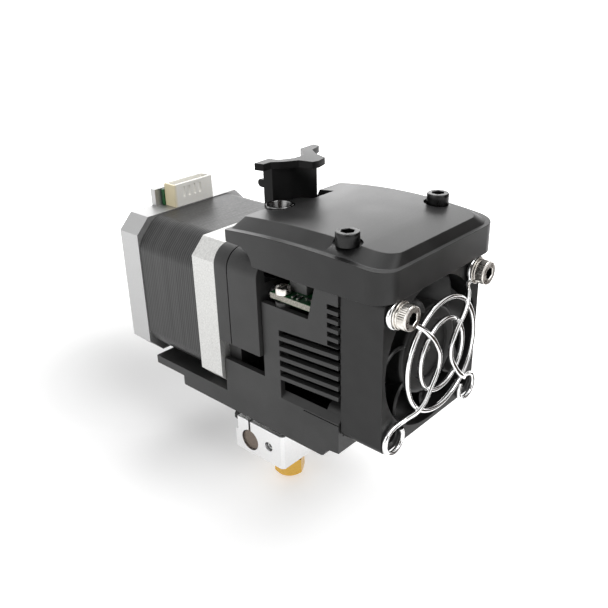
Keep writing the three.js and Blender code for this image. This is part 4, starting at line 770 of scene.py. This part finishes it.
def black_screws():
    for name, place in LID_SCREWS.items():
        screw = socket_screw(
            "lid_cap_screw_" + name, (*place, 30.4), "Z", head=2.75, height=3.2, shank=1.5, reach=8.4,
            flat=1.4, depth=1.7)
        finished(screw, "black_steel", replaced=("lid_screw_" + name,))
    for name, place in BRACKET_SCREWS.items():
        screw = socket_screw(
            "bracket_cap_screw_" + name, (*place, 23.2), "Z", head=1.9, height=1.3, shank=1.2, reach=6,
            flat=0.9, depth=0.7)
        finished(screw, "black_steel", replaced=("bracket_screw_" + name,))


def collar():
    """The ring in the lid that the filament goes in by, and the tube below it."""
    ring = turned("filament_collar", (*FILAMENT, 0), "Z", [
        (2.3, 26.4), (3.5, 26.4), (3.6, 26.5), (3.6, 30.45), (3.45, 30.65), (3.2, 30.7), (2.95, 30.6),
        (2.8, 30.3), (2.4, 28.6), (2.3, 28.4), (2.3, 26.4)], 64, True)
    # Painted highlight: the collar takes the lightened copy of its black steel.
    finished(ring, "black_steel", replaced=("inlet_collar",), smooth=40, look="painted_highlight")
    tube = turned("filament_tube", (*FILAMENT, 0), "Z", [
        (1.1, 6.6), (1.85, 6.6), (2, 6.75), (2, 28.45), (1.85, 28.6), (1.1, 28.6),
        (1.1, 6.6)], 40, True)
    finished(tube, "clear_polymer", replaced=("inlet_tube",))


# Hot side

def nozzle():
    """A hexagon whose corners are turned down to a cone, on a threaded neck."""
    x, y = FILAMENT
    hexagon = turned("brass_nozzle", (x, y, 0), "Z", [(4.62, -51), (4.62, -45.8)], 6)
    chamfer = turned("chamfer", (x, y, 0), "Z", [
        (3.9, -51.1), (4.75, -50.4), (4.75, -46.2), (4.1, -45.7)], 96)
    modify(hexagon, "BOOLEAN", operation="INTERSECT", object=chamfer, solver="EXACT")
    bpy.data.objects.remove(chamfer)
    soften(hexagon, 0.08, 20, 2)
    neck = turned("nozzle_neck", (x, y, 0), "Z", [(2.9, -45.9), (2.9, -41.6)], 48)
    tip = turned("nozzle_tip", (x, y, 0), "Z", [
        (0.3, -52.6), (0.7, -52.6), (0.8, -52.5), (2.5, -51.2), (2.7, -50.8)], 48)
    return finished(join(hexagon, neck, tip), "brass", replaced=("nozzle",), smooth=30)


def heater():
    """The block with what is clamped and screwed into it; the cartridge's end is recessed."""
    recess = turned("recess", (0, -1.54, -40.95), "X", [(2.75, -14), (2.65, -13.4)], 48)
    softened("heater_cartridge", 0.15, carved=[recess])
    for node in ("block_clamp_screw", "thermistor"):
        softened(node, 0.12)
    softened("block_grub_screw", 0.12, look="steel")
    softened("heater_block", 0.15)


# Circuit boards

BOARD_TOP = 13.1
BOARD_SCREWS = {"left": (-17.6, -21), "right": (17.5, -21)}
# Across, back, and whether the chip lies along the board's depth
CHIPS = (
    (-17.3, -24.6, False), (-17.3, -26.2, False), (-16.6, -28.6, True), (-13.4, -29.3, True),
    (-6, -24, False), (-2, -28, True))
CHIP_HALF, CHIP_SIDE, CHIP_BODY, CHIP_END = 0.8, 0.5, 0.7, 0.28


def board():
    """The lacquered board, with its connector, two cross-head screws and small chips."""
    softened("circuit_board", 0.05)
    softened("board_connector", 0.2)
    for name, (x, y) in BOARD_SCREWS.items():
        screw = turned("board_screw_%s_pan" % name, (x, y, BOARD_TOP), "Z", [
            (0.8, -4.9), (1, -4.7), (1, 0), (1.9, 0), (2, 0.12), (2, 1.3), (1.85, 1.7), (1.5, 1.95),
            (0.9, 2.05)], 48)
        for half_x, half_y in ((1.15, 0.22), (0.22, 1.15)):
            cross = block("cross", (x - half_x, y - half_y, 14.2), (x + half_x, y + half_y, 16))
            carve(screw, cross)
        finished(screw, "nickel", replaced=("board_screw_" + name,))
    chips, ends = [], []
    for x, y, lengthwise in CHIPS:
        a, b = (CHIP_SIDE, CHIP_HALF) if lengthwise else (CHIP_HALF, CHIP_SIDE)
        a, b = a * CHIP_BODY, b * CHIP_BODY
        chips.append(block("board_chip", (x - a, y - b, BOARD_TOP), (x + a, y + b, 13.42)))
        for way in (-CHIP_HALF, CHIP_HALF):
            cx, cy = (x, y + way) if lengthwise else (x + way, y)
            ends.append(block(
                "board_chip_end", (cx - CHIP_END, cy - CHIP_END, BOARD_TOP),
                (cx + CHIP_END, cy + CHIP_END, 13.4)))
    for piece, finish in ((join(*chips), "black_plastic"), (join(*ends), "nickel")):
        soften(piece, 0.05, 30, 1)
        finished(piece, finish)


def plug_board():
    """The slim board that the motor's connector stands on."""
    sheet = block("plug_board", (-7.1, 36.85, 21.2), (8.5, 37.7, 26))
    soften(sheet, 0.08, 30, 1)
    finished(sheet, "solder_mask")


# All the pieces

def stack_corner(middle, along):
    """Whether an edge is one of the long ones at the corners of the motor's stack."""
    return abs(along.y) > 0.99 and abs(middle.x - at(0, 0, 0).x) > 12.7 * MM


# The solids that keep their shape, and how wide their edges are eased
EASED = {
    "motor_front_cap": 0.35, "motor_rear_cap": 0.35, "motor_connector": 0.2, "mount_plate": 0.45,
    "idler_lever": 0.6, "heatsink": 0.15, "motor_connector_pins": 0.05, "motor_screw_1": 0.1,
    "motor_screw_2": 0.1, "motor_screw_3": 0.1, "motor_screw_4": 0.1, "idler_pivot_pin": 0.1,
    "heat_break": 0.1, "mount_screw_1": 0.1, "mount_screw_2": 0.1, "mount_screw_3": 0.1}
for node, width in EASED.items():
    softened(node, width)
softened("motor_stack", 0.1, rounded=stack_corner, rounding=2.2)
# Painted shade: the bracket takes the darkened copy of its black plastic.
softened("cable_bracket", 0.45, look="painted_shade_black")
housing()
spring = softened("idler_spring", 0.05)
tuple(at(-10.6, -10, 17.3))
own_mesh(spring)
plug_board()
lid()
fan_frame()
fan_wheel()
guard()
fan_screws()
black_screws()
collar()
nozzle()
heater()
board()


# Studio

CAMERA = {
    "azimuth": -47.29, "elevation": 25.3, "roll": -1.49, "lens": 44.406,
    "place": (-0.13638, -0.14592, 0.11531)}


def camera():
    """A camera that is turned by its azimuth, elevation and roll."""
    azimuth, elevation, roll = (math.radians(CAMERA[part]) for part in ("azimuth", "elevation", "roll"))
    outward = math.cos(elevation)
    back = Vector((
        math.sin(azimuth) * outward, -math.cos(azimuth) * outward, math.sin(elevation)))
    right = Vector((math.cos(azimuth), math.sin(azimuth), 0))
    up = back.cross(right)
    across = math.cos(roll) * right + math.sin(roll) * up
    upward = -math.sin(roll) * right + math.cos(roll) * up
    data = bpy.data.cameras.new("camera")
    data.lens = CAMERA["lens"]
    data.sensor_width = 36
    data.clip_start = 0.01
    data.clip_end = 20
    made = bpy.data.objects.new("camera", data)
    bpy.context.scene.collection.objects.link(made)
    made.matrix_world = Matrix.Translation(CAMERA["place"]) @ Matrix(
        (across, upward, back)).transposed().to_4x4()
    bpy.context.scene.camera = made


FLOOR = cad_box[0].z - 0.0002
# Painted light: the paper's glow grows away from a set centre and washes out its shadow: start, end and
# strength gained
PAINTED_GLOW_CENTRE = (0.005, 0.06, 0)
PAINTED_GLOW_RAMPS = ((0, 0.09, 0.45), (0.09, 0.16, 0.55))
SHOWN = ("Is Camera Ray", "Is Glossy Ray", "Is Transmission Ray")


def paper_shown(graph):
    """One for a ray that shows the white paper itself, nought for one that carries its light."""
    path = graph.nodes.new("ShaderNodeLightPath")
    total = path.outputs[SHOWN[0]]
    for name in SHOWN[1:]:
        both = graph.nodes.new("ShaderNodeMath")
        both.operation = "MAXIMUM"
        graph.links.new(total, both.inputs[0])
        graph.links.new(path.outputs[name], both.inputs[1])
        total = both.outputs[0]
    return total


def paper_floor():
    """White paper with a painted glow that grows with the distance from a set centre, so the real
    shadow shows near the object and fades to plain white further off.
    """
    bpy.ops.mesh.primitive_plane_add(size=12, location=(0, 0, FLOOR))
    floor = bpy.context.object
    floor.name = "paper_floor"
    finish = Finish("white paper", (0.8, 0.8, 0.8), 0.9)
    graph = finish.tree
    offset = finish.node("VectorMath", {"operation": "SUBTRACT"}, {0: finish.where(), 1: PAINTED_GLOW_CENTRE})
    away = finish.node("VectorMath", {"operation": "LENGTH"}, {0: offset}, "Value")
    near, far = (
        finish.rise(away, start, end, 0, gained, "SMOOTHSTEP") for start, end, gained in PAINTED_GLOW_RAMPS)
    # Painted light: the paper glows for the camera and mirrors, more the further it lies from the set
    # centre.
    painted_glow = graph.nodes.new("ShaderNodeEmission")
    finish.feed(painted_glow.inputs["Strength"], near + far)
    lit = graph.nodes.new("ShaderNodeAddShader")
    graph.links.new(finish.shader.outputs[0], lit.inputs[0])
    graph.links.new(painted_glow.outputs[0], lit.inputs[1])
    either = graph.nodes.new("ShaderNodeMixShader")
    graph.links.new(paper_shown(graph), either.inputs[0])
    graph.links.new(finish.shader.outputs[0], either.inputs[1])
    graph.links.new(lit.outputs[0], either.inputs[2])
    graph.links.new(either.outputs[0], graph.nodes["Material Output"].inputs["Surface"])
    floor.data.materials.append(finish.material)


def dark_card(name, place, target, size, mirrored_only):
    """A black board out of the picture, which the polished metal and the front of the head mirror."""
    bpy.ops.mesh.primitive_plane_add(size=1, location=place)
    card = bpy.context.object
    card.name = name
    card.scale = (*size, 1)
    card.rotation_euler = (Vector(target) - Vector(place)).to_track_quat("Z", "Y").to_euler()
    apply_place(card)
    finish = Finish("black board " + name, (0.04, 0.028, 0.022), 0.9)
    card.data.materials.append(finish.bump(finish.grain(3), 0.05))
    card.visible_camera = False
    card.visible_shadow = card.visible_diffuse = not mirrored_only


def white_surround(fill):
    """A world that lights the object softly, and shows as plain white."""
    world = bpy.data.worlds.new("surround")
    bpy.context.scene.world = world
    world.use_nodes = True
    graph = world.node_tree
    soft = graph.nodes["Background"]
    soft.inputs["Color"].default_value = (1, 1, 1, 1)
    soft.inputs["Strength"].default_value = fill
    seen = graph.nodes.new("ShaderNodeBackground")
    seen.inputs["Color"].default_value = (1, 1, 1, 1)
    seen.inputs["Strength"].default_value = 1.0
    either = graph.nodes.new("ShaderNodeMixShader")
    graph.links.new(paper_shown(graph), either.inputs[0])
    graph.links.new(soft.outputs[0], either.inputs[1])
    graph.links.new(seen.outputs[0], either.inputs[2])
    graph.links.new(either.outputs[0], graph.nodes["World Output"].inputs["Surface"])


def softbox(name, place, target, size, power):
    data = bpy.data.lights.new(name, "AREA")
    data.shape = "RECTANGLE"
    data.size, data.size_y = size
    data.energy = power
    made = bpy.data.objects.new(name, data)
    bpy.context.scene.collection.objects.link(made)
    made.location = place
    made.rotation_euler = (Vector(target) - Vector(place)).to_track_quat("-Z", "Y").to_euler()


# Place, target, size and power
LAMPS = {
    "overhead": ((0.2, 0.1, 0.55), (0, -0.02, 0.05), (0.35, 0.35), 1.7),
    "left": ((-0.65, 0.1, 0.35), (0, -0.02, 0.05), (0.5, 0.4), 0.85),
    "front": ((-0.05, -0.75, 0.7), (0, -0.05, 0.03), (0.6, 0.4), 4.3),
    "behind": ((0.75, 0.75, 0.35), (0, -0.03, 0.06), (1.1, 0.5), 3.8),
}
# Place, target and size, and whether the card is only mirrored
CARDS = {
    "right": ((0.5, -0.5, 0.12), (0, -0.05, 0.03), (1.0, 0.5), False),
    "camera_side": ((-0.42, -0.45, 0.3), (0, -0.05, 0.03), (0.5, 0.3), False),
    "front_low": ((0.1, -0.17, -0.02), (0.1, -0.17, 0.3), (0.17, 0.17), True),
}

camera()
paper_floor()
white_surround(fill=0.3)
for name, settings in LAMPS.items():
    softbox(name, *settings)
for name, settings in CARDS.items():
    dark_card(name, *settings)
bpy.context.scene.view_settings.view_transform = "Standard"
